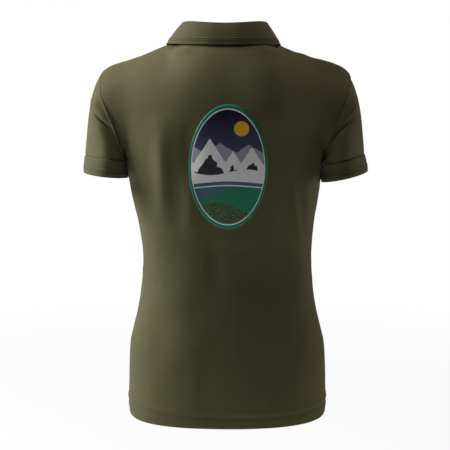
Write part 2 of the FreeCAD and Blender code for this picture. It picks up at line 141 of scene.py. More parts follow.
def activate(piece):
    clear()
    piece.select_set(True)
    bpy.context.view_layer.objects.active = piece


def smooth(piece):
    activate(piece)
    bpy.ops.object.shade_smooth()


def edited(piece, operator, **values):
    # runs one edit mode operator on all of a piece
    activate(piece)
    bpy.ops.object.mode_set(mode="EDIT")
    bpy.ops.mesh.select_all(action="SELECT")
    operator(**values)
    bpy.ops.object.mode_set(mode="OBJECT")


def modified(piece, kind, **values):
    # adds a modifier and applies it
    activate(piece)
    made = piece.modifiers.new(kind.title(), kind)
    for key, value in values.items():
        setattr(made, key, value)
    bpy.ops.object.modifier_apply(modifier=made.name)


def joined(name, pieces):
    clear()
    for piece in pieces:
        piece.select_set(True)
    bpy.context.view_layer.objects.active = pieces[0]
    bpy.ops.object.join()
    made = bpy.context.object
    made.name = name
    return made


def faceOut(piece):
    edited(piece, bpy.ops.mesh.normals_make_consistent, inside=False)
    smooth(piece)


def weld(piece, gap):
    edited(piece, bpy.ops.mesh.remove_doubles, threshold=gap)


def thicken(piece, millimetres):
    # gives cloth its thickness, inwards
    modified(piece, "SOLIDIFY", thickness=millimetres / 1000, offset=-1, use_even_offset=False)


def smoothStep(low, high, x):
    t = min(1.0, max(0.0, (x - low) / (high - low)))
    return t * t * (3 - 2 * t)


def bell(off, width):
    # 1 at the middle of a ridge, dying away on both sides
    return math.exp(-(off / width) ** 2)


def stations(spots):
    # how far along a line each of its points lies
    steps = [0.0]
    for a, b in zip(spots, spots[1:]):
        steps.append(steps[-1] + (b - a).length)
    return steps


def stretchAt(steps, want):
    # the number of the stretch that holds a distance
    k = 0
    while k < len(steps) - 2 and steps[k + 1] < want:
        k += 1
    return k


def through(steps, values, want):
    # a smooth curve through the values that stand at rising steps
    k = stretchAt(steps, want)
    a, b = values[k], values[k + 1]
    span = steps[k + 1] - steps[k]
    leave = (b - values[k - 1]) / (steps[k + 1] - steps[k - 1]) * span if k > 0 else b - a
    arrive = (values[k + 2] - a) / (steps[k + 2] - steps[k]) * span if k + 2 < len(steps) else b - a
    t = (want - steps[k]) / span
    t2, t3 = t * t, t * t * t
    return a * (2 * t3 - 3 * t2 + 1) + leave * (t3 - 2 * t2 + t) + b * (3 * t2 - 2 * t3) + arrive * (t3 - t2)


def along(points, share):
    # a smooth curve through the points, by share of its length
    spots = [Vector(p) for p in points]
    steps = stations(spots)
    return through(steps, spots, min(1.0, max(0.0, share)) * steps[-1])


def evenly(spots, count):
    # points at equal distances along a line
    steps = stations(spots)
    made = []
    for n in range(count):
        want = steps[-1] * n / (count - 1)
        k = stretchAt(steps, want)
        t = (want - steps[k]) / max(1e-9, steps[k + 1] - steps[k])
        made.append(spots[k].lerp(spots[k + 1], t))
    return made


def bowed(start, first, second, end, t):
    # a cubic curve from start to end that leaves towards first and arrives from second
    return (start * (1 - t) ** 3 + first * 3 * t * (1 - t) ** 2
            + second * 3 * t * t * (1 - t) + end * t ** 3)


def mirrored(point, side):
    return Vector((point.x * side, point.y, point.z))


def ringAt(height):
    # half width, back depth, front depth and shift of the body at a height
    rings = bodyCut["rings"]
    heights = [ring[0] for ring in rings]
    height = min(heights[-1], max(heights[0], height))
    return [through(heights, [ring[column] for ring in rings], height) for column in range(1, 5)]


def skirtPoint(across, height, front):
    # across runs from 0 at the middle to 1 at the side seam
    halfWidth, back, fore, shift = ringAt(height)
    power = 2 / bodyCut["squareness"]
    angle = abs(across) * math.pi / 2
    x = halfWidth * math.sin(angle) ** power
    y = (fore if front else -back) * math.cos(angle) ** power
    return Vector((x, y, height)), shift


def rounded(points, share):
    # the same curve with its corner blurred, mirrored at the middle and carried on past the end
    total, weights = Vector(), 0.0
    end = along(points, 1.0)
    steps = bodyCut["blurSteps"]
    for k in range(-steps, steps + 1):
        at = share + k * bodyCut["cornerBlur"] / steps
        weight = bell(k, bodyCut["blurWidth"])
        if at < 0:
            spot = along(points, -at)
            spot.x = -spot.x
        elif at > 1:
            spot = end * 2 - along(points, 2 - at)
        else:
            spot = along(points, at)
        total += spot * weight
        weights += weight
    return total / weights


def yokePoint(across, rise, front):
    # rise runs from 0 at the underarm's level to 1 at the shoulder and neckline
    side = armholeFront if front else armholeBack
    top = frontTop if front else backTop
    level = bodyCut["underarm"]

    def column(u):
        foot, shift = skirtPoint(u, level, front)
        below, shift = skirtPoint(u, level - 4, front)
        climb = (foot - below).normalized()
        head = along(top, u)
        span = (head - foot).length
        soft = rounded(top, u)
        bow = soft.copy()
        if front:
            middle, shoulder = Vector(bodyCut["topMiddle"]), Vector(bodyCut["topSide"])
            lie = middle.lerp(shoulder, smoothStep(0.15, 0.75, u)).normalized()
            bow += lie * span * bodyCut["frontBow"]
        else:
            bow.yz = along(yokeBow, u).yz
        # the neck's corner only tells close to the edge
        return (bowed(foot, foot + climb * span * bodyCut["yokeClimb"], bow, soft, rise)
                + (head - soft) * rise ** 6)

    # the armhole only tells close to the side
    return column(abs(across)) + (along(side, rise) - column(1.0)) * abs(across) ** 5


def panelPoint(u, v, front):
    # u from -1 to 1 across, v from 0 at the hem to 1 at the top
    split = bodyCut["skirtRows"] / (bodyCut["skirtRows"] + bodyCut["yokeRows"])
    if v <= split + 1e-9:
        height = bodyCut["hem"] + (bodyCut["underarm"] - bodyCut["hem"]) * v / split
        point, shift = skirtPoint(abs(u), height, front)
        point.z += bodyCut["sideRise"] * abs(u) ** 3 * smoothStep(0.5, 0.0, v / split)
    else:
        point = yokePoint(abs(u), (v - split) / (1 - split), front)
        shift = 0.0
    if u < 0:
        point.x = -point.x
    point.x += shift
    return point


def armholeRing(turn):
    # turn runs once round: 0 at the shoulder, down the back, 0.5 at the underarm, up the front
    if turn <= 0.5:
        return along(armholeBack, 1 - turn * 2)
    return along(armholeFront, (turn - 0.5) * 2)


def cuffRing(turn, down, word):
    # the ring where the cuff is sewn on, moved down along the sleeve
    cut = sleeveCut[word]
    angle = turn * 2 * math.pi
    x = cut["halfWidth"] * math.cos(angle)
    outer = smoothStep(-1, 1, math.cos(angle))
    hang = sleeveCut["inward"] + (sleeveCut["forward"] - sleeveCut["inward"]) * outer
    y = -sleeveCut["halfDepth"] * math.sin(angle) + x * hang
    tilt = math.radians(cut["tilt"])
    lift = sleeveCut["cuffHeight"] - down
    cx, cy, cz = cut["edge"]
    return Vector((cx + x * math.cos(tilt) - lift * math.sin(tilt), cy + y,
                   cz + x * math.sin(tilt) + lift + math.sin(angle) * sleeveCut["backRise"]))


def sleevePoint(turn, s, word):
    # s from 0 at the armhole to 1 at the cuff seam
    start = armholeRing(turn)
    end = cuffRing(turn, 0.0, word)
    span = (end - start).length
    upness = 0.5 + 0.5 * math.cos(turn * 2 * math.pi)   # 1 at the shoulder, 0 at the underarm
    side = math.sin(turn * 2 * math.pi)                 # 1 at the back, -1 at the front
    out = Vector(sleeveCut["underarm"]).lerp(Vector(sleeveCut["shoulder"]), upness ** 0.7).normalized()
    out = (out + Vector((0.16, 0.12 * side if side > 0 else -0.18 * side, 0)) * abs(side)).normalized()
    down = Vector((0.13 * upness - 0.03, 0, -1)).normalized()
    reach = span * (sleeveCut["leave"] - sleeveCut["leaveLess"] * upness)
    return bowed(start, start + out * reach, end - down * span * sleeveCut["arrive"], end, s)


def seamTurn(a):
    # a sleeve's grid starts and ends at the underarm
    return (a + 0.5) % 1.0 if a < 1 else 0.5


def clothGrid(name, columns, rows, place):
    # a grid primitive moved into the cloth's shape, with a UV map in metres of cloth
    clear()
    bpy.ops.mesh.primitive_grid_add(x_subdivisions=columns, y_subdivisions=rows, size=2, calc_uvs=True)
    piece = bpy.context.object
    piece.name = name
    mesh = piece.data
    spots = {}
    for vertex in mesh.vertices:
        i = round((vertex.co.x + 1) / 2 * columns)
        j = round((vertex.co.y + 1) / 2 * rows)
        spots[vertex.index] = (i, j)
        vertex.co = place(i / columns, j / rows) / 1000
    lattice = {spots[v.index]: v.co.copy() for v in mesh.vertices}
    middle = columns // 2
    lengths, climbs = {}, {}
    for j in range(rows + 1):
        lengths[middle, j] = 0.0
        for i in range(middle + 1, columns + 1):
            lengths[i, j] = lengths[i - 1, j] + (lattice[i, j] - lattice[i - 1, j]).length
        for i in range(middle - 1, -1, -1):
            lengths[i, j] = lengths[i + 1, j] - (lattice[i + 1, j] - lattice[i, j]).length
    for i in range(columns + 1):
        climbs[i, 0] = 0.0
        for j in range(1, rows + 1):
            climbs[i, j] = climbs[i, j - 1] + (lattice[i, j] - lattice[i, j - 1]).length
    uv = mesh.uv_layers.active.data
    for loop in mesh.loops:
        i, j = spots[loop.vertex_index]
        uv[loop.index].uv = (lengths[i, j], climbs[middle, j] * 0.5 + climbs[i, j] * 0.5)
    return piece


def openEdges(mesh):
    # the edges that only one face uses
    uses = {}
    for polygon in mesh.polygons:
        for key in polygon.edge_keys:
            uses[key] = uses.get(key, 0) + 1
    return [key for key, count in uses.items() if count == 1]


def edgeVertices(mesh):
    return {v for key in openEdges(mesh) for v in key}


def relax(piece, rounds, keep, share):
    # evens the cloth out, except at the vertices to keep, and swells it back by nearly as much
    mesh = piece.data
    beside = [[] for v in mesh.vertices]
    for edge in mesh.edges:
        a, b = edge.vertices
        beside[a].append(b)
        beside[b].append(a)
    spots = [v.co.copy() for v in mesh.vertices]
    for turn in range(rounds):
        for step in (share, -share * 0.98):
            fresh = list(spots)
            for k, near in enumerate(beside):
                if k in keep or not near:
                    continue
                middle = sum((spots[n] for n in near), Vector()) / len(near)
                fresh[k] = spots[k].lerp(middle, step)
            spots = fresh
    for vertex, spot in zip(mesh.vertices, spots):
        vertex.co = spot


sides = (("Left", -1), ("Right", 1))
# the cloth of body and sleeves is cut as grids, sewn into one, and parted again once it is shaped
panelRows = bodyCut["skirtRows"] + bodyCut["yokeRows"]
cutPieces = []
for name, front in (("backPanel", False), ("frontPanel", True)):
    cutPieces.append(clothGrid(
        name, bodyCut["columns"], panelRows,
        lambda a, b: panelPoint(a * 2 - 1, b, front),
    ))
for word, side in sides:
    cutPieces.append(clothGrid(
        "sleeve" + word, bodyCut["yokeRows"] * 2, sleeveCut["rows"],
        lambda a, b: mirrored(sleevePoint(seamTurn(a), 1 - b, word), side),
    ))
for piece in cutPieces:
    piece.data.materials.append(bpy.data.materials.new(piece.name + "Mark"))
shirt = joined("shirt", cutPieces)
weld(shirt, 0.00006)
faceOut(shirt)
relax(shirt, 5, edgeVertices(shirt.data), 0.5)
modified(shirt, "SUBSURF", levels=1, render_levels=1)
print("cloth cut and sewn:", len(shirt.data.vertices), "vertices")


def bothSides(height, width, path):
    # the same fold on the left and on the right
    return [(height, width, [(x * side, z) for x, z in path]) for word, side in sides]


# folds in the cloth: height out of it, half its width, and its path as (x, z)
drape = {
    "taper": 0.4,           # share of a fold's length over which it rises or dies away
    "pathSteps": 16,        # straight stretches that a fold's path is cut into
    "reach": 2.4,           # how far a fold is felt, in half widths
    "wave": 1.12,           # height of the broad unevenness, and how far apart its humps are
    "waveSize": (46, 46, 95),
    "crumple": 0.44,        # the same for the fine unevenness
    "crumpleSize": (13, 13, 19),
    "back": [
        # upright folds and broad swellings over the back
        (2.0, 9, [(-143, -205), (-140, -250), (-138, -305)]),
        (5.8, 14, [(-105, -108), (-103, -165), (-100, -235), (-98, -318)]),
        (-3.0, 14, [(-58, -115), (-57, -178), (-54, -232)]),
        (4.2, 14, [(-58, -205), (-55, -262), (-51, -335)]),
        (-1.9, 12, [(-18, -285), (-17, -340), (-16, -410)]),
        (1.6, 17, [(12, -285), (14, -350), (20, -460)]),
        (-1.4, 18, [(62, -275), (62, -340), (60, -440)]),
        (2.8, 6, [(110, -215), (113, -250), (119, -297), (125, -325), (129, -352)]),
        (2.2, 6, [(132, -215), (134, -250), (137, -300), (137, -345)]),
        (2.6, 14, [(121, -320), (124, -390), (124, -480)]),
        (10.0, 46, [(88, 14), (84, -60), (76, -165)]),
        (2.4, 28, [(-128, -12), (-132, -60), (-130, -120)]),
        (5.0, 48, [(-78, -325), (-76, -430), (-74, -600)]),
        (-3.5, 46, [(76, -325), (76, -430), (74, -600)]),
        # hollows and swellings beside the armholes
        (-1.1, 5, [(-200, -84), (-191, -106), (-181, -126), (-174, -145), (-166, -164), (-158, -184),
                   (-151, -208)]),
        (-2.0, 7, [(200, -88), (192, -106), (182, -126), (174, -145), (166, -164), (158, -184),
                   (151, -208)]),
        *bothSides(5.0, 11, [(170, -152), (162, -172), (155, -192), (151, -214), (149, -240)]),
        # where the sleeves' cloth is drawn in towards the underarm
        (-5.0, 2.3, [(-233, -94), (-225, -104), (-214, -117), (-200, -130), (-186, -140), (-172, -148)]),
        (3.6, 7, [(-230, -84), (-219, -97), (-208, -111), (-194, -123), (-182, -132)]),
        (1.6, 9, [(-232, -116), (-218, -130), (-204, -143), (-190, -154)]),
        (-3.4, 3.4, [(218, -104), (205, -130), (195, -139), (184, -148), (174, -162), (168, -176),
                     (164, -192)]),
        (2.0, 4, [(222, -84), (219, -98), (210, -118), (200, -131)]),
        (2.2, 9, [(214, -134), (200, -148), (186, -164), (176, -182)]),
        # where the collar's leaf rests beside the neck
        *bothSides(6.0, 8, [(48, -7), (62, -9), (76, -12.5), (88, -14.5), (100, -18)]),
        # the shoulders
        (-3.2, 12, [(82, -2), (106, -9), (134, -22)]),
        (4.8, 15, [(126, -20), (164, -32), (196, -44), (226, -66)]),
        # over the hips and along the hem
        (0.9, 12, [(-128, -440), (-124, -520), (-116, -605)]),
        (0.8, 13, [(-56, -480), (-50, -540), (-48, -612)]),
        (-0.9, 16, [(8, -480), (14, -550), (14, -610)]),
        (0.9, 14, [(66, -470), (60, -540), (58, -610)]),
        (-0.8, 12, [(112, -470), (108, -540), (102, -605)]),
        (1.0, 10, [(138, -420), (136, -490), (128, -560)]),
        # slanting creases at the sides of the waist
        (0.9, 8, [(-112, -392), (-132, -380), (-150, -378)]),
        (-0.9, 7, [(-104, -408), (-128, -398), (-150, -394)]),
        (0.9, 8, [(108, -398), (130, -384), (150, -380)]),
    ],
    "front": [
        # upright folds that hang from the bust
        (2.2, 16, [(-70, -190), (-84, -290), (-96, -400)]),
        (-1.7, 17, [(-44, -230), (-54, -320), (-62, -440)]),
        (1.3, 15, [(-24, -270), (-30, -350), (-36, -470)]),
        (2.3, 16, [(74, -185), (86, -290), (94, -410)]),
        (-1.7, 17, [(50, -225), (58, -320), (66, -450)]),
        (1.2, 16, [(26, -290), (24, -380), (20, -490)]),
        # the hollows beside the armholes
        *bothSides(-3.2, 8, [(197, -84), (189, -104), (180, -126), (172, -148), (163, -172), (154, -200)]),
        # the shoulders
        (-3.2, 12, [(82, -2), (106, -9), (134, -22)]),
        (1.8, 18, [(150, -28), (178, -37), (200, -48)]),
        # creases from the armholes towards the bust
        (2.0, 8, [(-168, -150), (-142, -176), (-112, -196)]),
        (2.0, 8, [(168, -150), (140, -172), (108, -190)]),
        # where the sleeves' cloth is drawn in towards the underarm
        *bothSides(-2.6, 3, [(226, -92), (214, -114), (200, -130), (184, -142)]),
        # along the hem
        (1.4, 14, [(-110, -480), (-106, -540), (-104, -605)]),
        (-1.3, 14, [(-62, -470), (-58, -540), (-56, -605)]),
        (1.3, 15, [(-8, -490), (-4, -550), (0, -610)]),
        (-1.3, 14, [(54, -480), (58, -540), (60, -605)]),
        (1.4, 13, [(112, -460), (108, -530), (104, -600)]),
    ],
}


def readyFolds(side):
    # each fold with its path cut fine and the box that it can reach
    ready = []
    steps = drape["pathSteps"]
    for height, width, path in drape[side]:
        line = [along([(x, 0, z) for x, z in path], k / steps) for k in range(steps + 1)]
        reach = width * drape["reach"]
        xs, zs = [p.x for p in line], [p.z for p in line]
        box = (min(xs) - reach, max(xs) + reach, min(zs) - reach, max(zs) + reach)
        ready.append((height, width, line, box))
    return ready


foldsOf = {side: readyFolds(side) for side in ("back", "front")}


def foldLift(x, z, side):
    # how far the folds lift the cloth at a place, each rounded across and tapered along its path
    lift = 0.0
    for height, width, line, (left, right, low, high) in foldsOf[side]:
        if not (left < x < right and low < z < high):
            continue
        best, share = 1e9, 0.0
        for k, (a, b) in enumerate(zip(line, line[1:])):
            dx, dz = b.x - a.x, b.z - a.z
            t = min(1.0, max(0.0, ((x - a.x) * dx + (z - a.z) * dz) / (dx * dx + dz * dz)))
            off = (x - a.x - dx * t) ** 2 + (z - a.z - dz * t) ** 2
            if off < best:
                best, share = off, (k + t) / (len(line) - 1)
        rise = smoothStep(0, drape["taper"], share) * smoothStep(0, drape["taper"], 1 - share)
        lift += height * rise * math.exp(-best / width ** 2)
    return lift


hemTurn = {
    "line": 18.0,           # height of the upper stitch row
    "rowGap": 5.0,          # between the two rows
    "layer": 0.9,           # thickness of the turned-up layer
    "swell": 0.6,           # how far the double cloth stands out
    "groove": 0.75,         # depth and width of the pinch along the stitching
    "grooveWidth": 2.2,
    "lip": 1.1,             # height, place and width of the roll above it
    "lipUp": 7.0,
    "lipWidth": 4.5,
    "reach": 40.0,
}


def hemLift(x, z):
    # the turned-up hem is twice as thick and is pinched along its stitching
    hemLevel, hemWidth, back, fore, shift = bodyCut["rings"][0]
    rise = bodyCut["sideRise"] * min(1.0, abs(x - shift) / hemWidth) ** 5
    up = z - hemLevel - rise
    if up > hemTurn["reach"]:
        return 0.0
    line = hemTurn["line"]
    swell = hemTurn["swell"] * smoothStep(line + 2, line - 3, up)
    pinch = hemTurn["groove"] * bell(up - line, hemTurn["grooveWidth"])
    lip = hemTurn["lip"] * bell(up - line - hemTurn["lipUp"], hemTurn["lipWidth"])
    return swell - pinch + lip


def unevenness(x, y, z, sizes, start):
    # a wandering height between -1 and 1
    across, deep, up = sizes
    return noise.noise(Vector((x / across, y / deep + start, z / up)))


def shapeCloth(piece):
    # moves the cloth out along its normals by its folds, its unevenness and its hem
    mesh = piece.data
    moves = []
    for vertex in mesh.vertices:
        x, y, z = vertex.co * 1000
        side = "front" if y > 0 else "back"
        # below the shoulders, folds die away towards the seam between back and front
        calm = smoothStep(0, 22, abs(y)) if z < -60 else 1.0
        lift = foldLift(x, z, side) * calm
        lift += drape["wave"] * unevenness(x, y, z, drape["waveSize"], 9)
        # the cloth is most crumpled at the underarms and at the sides of the waist
        busy = 0.35 + 0.65 * max(bell(z + 185, 55) * smoothStep(90, 150, abs(x)),
                                 bell(z + 385, 60) * smoothStep(60, 130, abs(x)))
        lift += drape["crumple"] * busy * unevenness(x, y, z, drape["crumpleSize"], 4)
        lift += hemLift(x, z)
        # and nearly smooth under the collar
        if z > -80:
            lift *= 0.2 + 0.8 * smoothStep(0.98, 1.2, math.hypot(x / 84, y / 64))
        moves.append(vertex.normal * (lift / 1000))
    for vertex, move in zip(mesh.vertices, moves):
        vertex.co += move


shapeCloth(shirt)
relax(shirt, 1, edgeVertices(shirt.data), 0.4)
print("folds shaped")


def surfaceOf(piece):
    return BVHTree.FromPolygons([v.co.copy() for v in piece.data.vertices],
                                [list(p.vertices) for p in piece.data.polygons])


def spotKey(spot):
    return tuple(round(value, 6) for value in spot)


clothSurface = surfaceOf(shirt)
sewnNormals = {spotKey(vertex.co): vertex.normal.copy() for vertex in shirt.data.vertices}


def onCloth(x, z, front):
    # where a line along the depth first meets the cloth from outside, with its outward normal
    start = Vector((x, 0.4 if front else -0.4, z))
    spot, normal, face, distance = clothSurface.ray_cast(start, Vector((0, -1 if front else 1, 0)))
    return spot, normal


# parted again into its panels
edited(shirt, bpy.ops.mesh.separate, type="MATERIAL")
panels = {}
for piece in list(bpy.context.scene.objects):
    if piece.type == "MESH" and piece.data.materials and piece.data.materials[0].name.endswith("Mark"):
        piece.name = piece.data.materials[0].name.removesuffix("Mark")
        piece.data.materials.clear()
        panels[piece.name] = piece


def edgeLines(piece, pick=lambda co: True):
    # the open edges of a piece as chains of points, among the vertices that are picked
    vertices = piece.data.vertices
    beside = {}
    for a, b in openEdges(piece.data):
        if pick(vertices[a].co) and pick(vertices[b].co):
            beside.setdefault(a, []).append(b)
            beside.setdefault(b, []).append(a)
    chains = []
    starts = sorted(v for v, near in beside.items() if len(near) == 1) + sorted(beside)
    seen = set()
    for start in starts:
        if start in seen:
            continue
        walk = [start]
        seen.add(start)
        while True:
            fresh = sorted(v for v in beside[walk[-1]] if v not in seen)
            if not fresh:
                break
            walk.append(fresh[0])
            seen.add(fresh[0])
        if len(beside[start]) == 2:
            walk.append(start)
        chains.append([vertices[v].co.copy() for v in walk])
    return sorted(chains, key=len)


def highest(chains):
    return max(chains, key=lambda chain: max(spot.z for spot in chain))


seamLines = {}
for word, side in sides:
    seamLines["armhole" + word] = highest(edgeLines(panels["sleeve" + word]))
    seamLines["shoulder" + word] = edgeLines(
        panels["backPanel"], lambda c: c.y > -0.006 and c.x * side > 0.082 and c.z > -0.052,
    )[-1]
for name, spots in seamLines.items():
    print("seam", name, len(spots), round(stations(spots)[-1], 3))

seamRidge = {
    "height": 0.0015,       # how far the sleeve's edge stands over the body
    "width": 0.0030,        # how far in from the edge it is lifted
    "turn": 0.0010,         # width of the strip that rolls in
    "dip": 0.0004,          # how far a panel's edge rolls in
    "cuffDip": 0.0019,      # the same at the cuff's seam
    "reach": 0.004,         # how near the armhole an edge belongs to its seam
    "samples": 400,         # points of the armhole's seam that this is measured from
}


def turnEdgesIn(piece, moves):
    # rolls the open edges of a panel inwards, as where it is sewn to its neighbour
    vertices = piece.data.vertices
    rolled = {spotKey(vertices[v].co): moves[v] for v in edgeVertices(piece.data)}
    edited(piece, bpy.ops.mesh.inset, thickness=seamRidge["turn"], use_boundary=True,
           use_even_offset=False, use_interpolate=True)
    for v in edgeVertices(piece.data):
        vertex = piece.data.vertices[v]
        vertex.co -= rolled.get(spotKey(vertex.co), Vector())


def raiseAtSeam(piece, normals, spots):
    # the seam's allowance is pressed towards the sleeve and lifts its edge over the body;
    # gives back how far each vertex would be rolled in
    tree = KDTree(len(spots))
    for k, spot in enumerate(spots):
        tree.insert(spot, k)
    tree.balance()
    moves = []
    for vertex, normal in zip(piece.data.vertices, normals):
        near, index, distance = tree.find(vertex.co)
        height = seamRidge["height"] * smoothStep(-0.075, -0.115, vertex.co.z)
        atSeam = distance < seamRidge["reach"]
        moves.append(normal * (seamRidge["dip"] + height if atSeam else seamRidge["cuffDip"]))
        vertex.co += normal * height * bell(distance, seamRidge["width"])
    return moves


for name, piece in panels.items():
    normals = [sewnNormals[spotKey(vertex.co)] for vertex in piece.data.vertices]
    if name.startswith("sleeve"):
        armhole = seamLines["armhole" + name.removeprefix("sleeve")]
        moves = raiseAtSeam(piece, normals, evenly(armhole, seamRidge["samples"]))
    else:
        moves = [normal * seamRidge["dip"] for normal in normals]
    turnEdgesIn(piece, moves)
    thicken(piece, bodyCut["cloth"])
    smooth(piece)
print("panels parted, edges turned in")

ribCut = {
    "collarColumns": 150,
    "standRows": 11,
    "rollRows": 7,
    "leafRows": 15,         # down to where the ridges begin
    "ridgeRows": 23,        # from there to the edge, closer together
    "ridgesFrom": 0.70,     # share of the leaf that lies above the ridges
    "cuffColumns": 120,
    "thickness": 1.6,
    "ridges": (9.8, 6.8),   # height of the knit-in ridges over the leaf's edge
    "ridgeLift": 0.95,      # how far they stand out
    "ridgeWidth": 0.8,
    "roll": 1.7,            # radius of the fold
    "standBow": 2.2,        # how far the stand bows out
    "belly": 2.0,           # how far the leaf stands out between its fold and its edge
    "gap": 2.1,             # from the leaf's outside to the cloth, its thickness included
    "rightDraw": 0.955,     # the leaf's edge is drawn in on the wearer's right
    "rightDrop": 1.3,       # and lies lower
    "cuffRidges": (12.0, 8.6, 5.2),
    "cuffRidgeLift": 1.25,
    "tuck": 2.9,            # how far inside the sleeve the cuff's sewn edge lies
}
neckSeam = [
    (0, -58.6, -6.5), (22, -57, -6.3), (42, -51, -6), (58, -41.5, -6), (69, -28, -6.5), (76, -14, -7.5),
    (79, 0, -8.5), (78, 11, -11.5), (71, 21, -19), (60.5, 34, -32), (46.5, 45.5, -47), (31, 54.5, -61),
    (15, 59.5, -70.5), (2, 61, -74),
]
foldLine = [
    (0, -50, 30.2), (20, -48.5, 30.8), (38, -43, 31.8), (53, -34, 32.6), (63, -23, 32.4),
    (69, -10, 31.0), (70.5, 2, 28.5), (69.5, 14, 22.5), (64, 27, 12), (54, 40, -3), (42, 50.5, -18),
    (28, 59, -32), (14, 64.5, -42), (3.5, 66.5, -47),
]
leafEdge = [
    (0, -66.2, -3.6), (25, -64.8, -3.2), (47, -57.8, -2.9), (65.5, -46.6, -2.8), (80, -32.4, -2.6),
    (90.5, -15.6, -2.9), (96.5, 2, -2.8), (96.5, 19.5, -12), (90.8, 36.5, -28.4), (80, 54, -48),
    (68, 67, -68), (58, 76, -89), (50, 82, -103), (44, 85, -112),
]


def collarRows():
    # places along the collar's width, closer together over the ridges
    stand, roll, leaf, edge = (ribCut[part] for part in ("standRows", "rollRows", "leafRows", "ridgeRows"))
    start = ribCut["ridgesFrom"]
    rows = [("stand", k / stand) for k in range(stand)]
    rows += [("roll", k / (roll - 1)) for k in range(roll)]
    rows += [("leaf", (k + 1) / (leaf + 1) * start) for k in range(leaf)]
    return rows + [("leaf", start + (1 - start) * k / (edge - 1)) for k in range(edge)]


collarProfile = collarRows()


def ribRidges(left, ridges, lift):
    # the height of the knit-in ridges at a distance from the free edge
    return sum(lift * bell(left - ridge, ribCut["ridgeWidth"]) for ridge in ridges)


def outward(points, share, side):
    # away from the neck, level and square to a line round it
    if share < 0.01:
        return Vector((0, -1, 0))
    ahead = mirrored(along(points, share + 0.01) - along(points, share - 0.01), side)
    return (Vector((ahead.y, -ahead.x, 0)) * side).normalized()


def collarPoint(across, row):
    side = -1 if across < 0 else 1
    share = abs(across)
    seam, fold, edge = (mirrored(along(points, share), side) for points in (neckSeam, foldLine, leafEdge))
    if side > 0:
        edge.x *= ribCut["rightDraw"]
        edge.z -= ribCut["rightDrop"] * smoothStep(60, 88, edge.x)
    out = outward(foldLine, share, side)
    part, t = collarProfile[row]
    roll = ribCut["roll"]
    if part == "stand":
        return seam.lerp(fold - out * roll, t) + out * ribCut["standBow"] * math.sin(t * math.pi)
    if part == "roll":
        angle = math.pi * (1 - t)
        return fold + out * roll * math.cos(angle) + Vector((0, 0, roll * math.sin(angle)))
    point = (fold + out * roll).lerp(edge, t)
    point += (out * 0.8 + Vector((0, 0, 0.6))) * ribCut["belly"] * math.sin(t * math.pi) ** 0.8
    lift = ribRidges((edge - fold).length * (1 - t), ribCut["ridges"], ribCut["ridgeLift"])
    lift += 0.5 * noise.noise(Vector((across * 7, t * 2, 3)))
    return point + (out * 0.75 + Vector((0, 0, 0.65))) * lift


def standClear(piece, gap, pick):
    # pushes a piece's picked vertices out until they are clear of the cloth under them
    for vertex in piece.data.vertices:
        if not pick(vertex.co):
            continue
        spot, normal, face, distance = clothSurface.find_nearest(vertex.co, 0.02)
        if spot is None:
            continue
        depth = (vertex.co - spot).dot(normal)
        if depth < gap:
            vertex.co += normal * (gap - depth)


lastRow = len(collarProfile) - 1
collar = clothGrid(
    "collarRib", ribCut["collarColumns"], lastRow,
    lambda a, b: collarPoint(a * 2 - 1, round(b * lastRow)),
)
faceOut(collar)
standClear(collar, ribCut["gap"] / 1000, lambda c: abs(c.x) > 0.0815 or c.y < -0.0625 or c.y > 0.064)

# how far each row of a cuff lies below its seam; the first two are tucked into the sleeve
cuffDowns = [-3.0, -0.1] + [k / 10 * 16 for k in range(10)] + [16 + k * 0.7 for k in range(21)]


def cuffPoint(turn, row, word):
    down = cuffDowns[row]
    angle = turn * 2 * math.pi
    halfWidth, halfDepth = sleeveCut[word]["halfWidth"], sleeveCut["halfDepth"]
    out = Vector((math.cos(angle) / halfWidth, -math.sin(angle) / halfDepth, 0)).normalized()
    if down < 0:
        return cuffRing(turn, down, word) - out * ribCut["tuck"]
    outer = 0.4 + 0.6 * smoothStep(-0.6, 0.6, math.cos(angle))
    swell = 1.4 * outer * smoothStep(-0.5, 3.5, down) - 0.6 + 0.5 * math.sin(min(1, down / 30) * math.pi)
    swell += ribRidges(sleeveCut["cuffHeight"] - down, ribCut["cuffRidges"], ribCut["cuffRidgeLift"])
    swell += 0.5 * noise.noise(Vector((math.cos(angle) * 2, math.sin(angle) * 2, down / 20)))
    return cuffRing(turn, down, word) + out * swell


cuffs = []
lastDown = len(cuffDowns) - 1
for word, side in sides:
    cuff = clothGrid(
        "cuffRib" + word, ribCut["cuffColumns"], lastDown,
        lambda a, b: mirrored(cuffPoint(seamTurn(a), round((1 - b) * lastDown), word), side),
    )
    weld(cuff, 0.0004)
    faceOut(cuff)
    cuffs.append(cuff)
for piece in [collar] + cuffs:
    thicken(piece, ribCut["thickness"])
    smooth(piece)
print("collar and cuffs made")


def hemPoint(a, b, front):
    # the hem's turned-up layer, inside the panels
    point = panelPoint((a * 2 - 1) * 0.992, 0, front)
    point.z += 0.4 + b * (hemTurn["line"] + 1.6)
    spot, normal, face, distance = clothSurface.find_nearest(point / 1000)
    return (spot - normal * 0.0016) * 1000


for name, front in (("hemBack", False), ("hemFront", True)):
    hem = clothGrid(name, bodyCut["columns"] * 2, 8, lambda a, b: hemPoint(a, b, front))
    faceOut(hem)
    thicken(hem, hemTurn["layer"])
print("hems turned up")

# the placket: an upper band on the front panel, an under band inside it
placketCut = {
    "halfWidth": 13.5,
    "top": -71.0,
    "bottom": -232.0,
    "upperLift": 2.3,       # from the panel to the upper band's outside
    "underLift": -1.5,      # from the panel to the under band's
    "turn": 0.9,            # how far the upper band's edges roll down
    "turnWidth": 1.1,
    "thickness": 1.1,
    "stitchIn": 2.2,        # edge stitching, in from the band's edge
    "boxHeight": 12.0,      # height of the stitched box at the bottom
    "quilt": 0.35,          # how deep the stitching draws the cloth in
    "quiltWidth": 0.8,
}


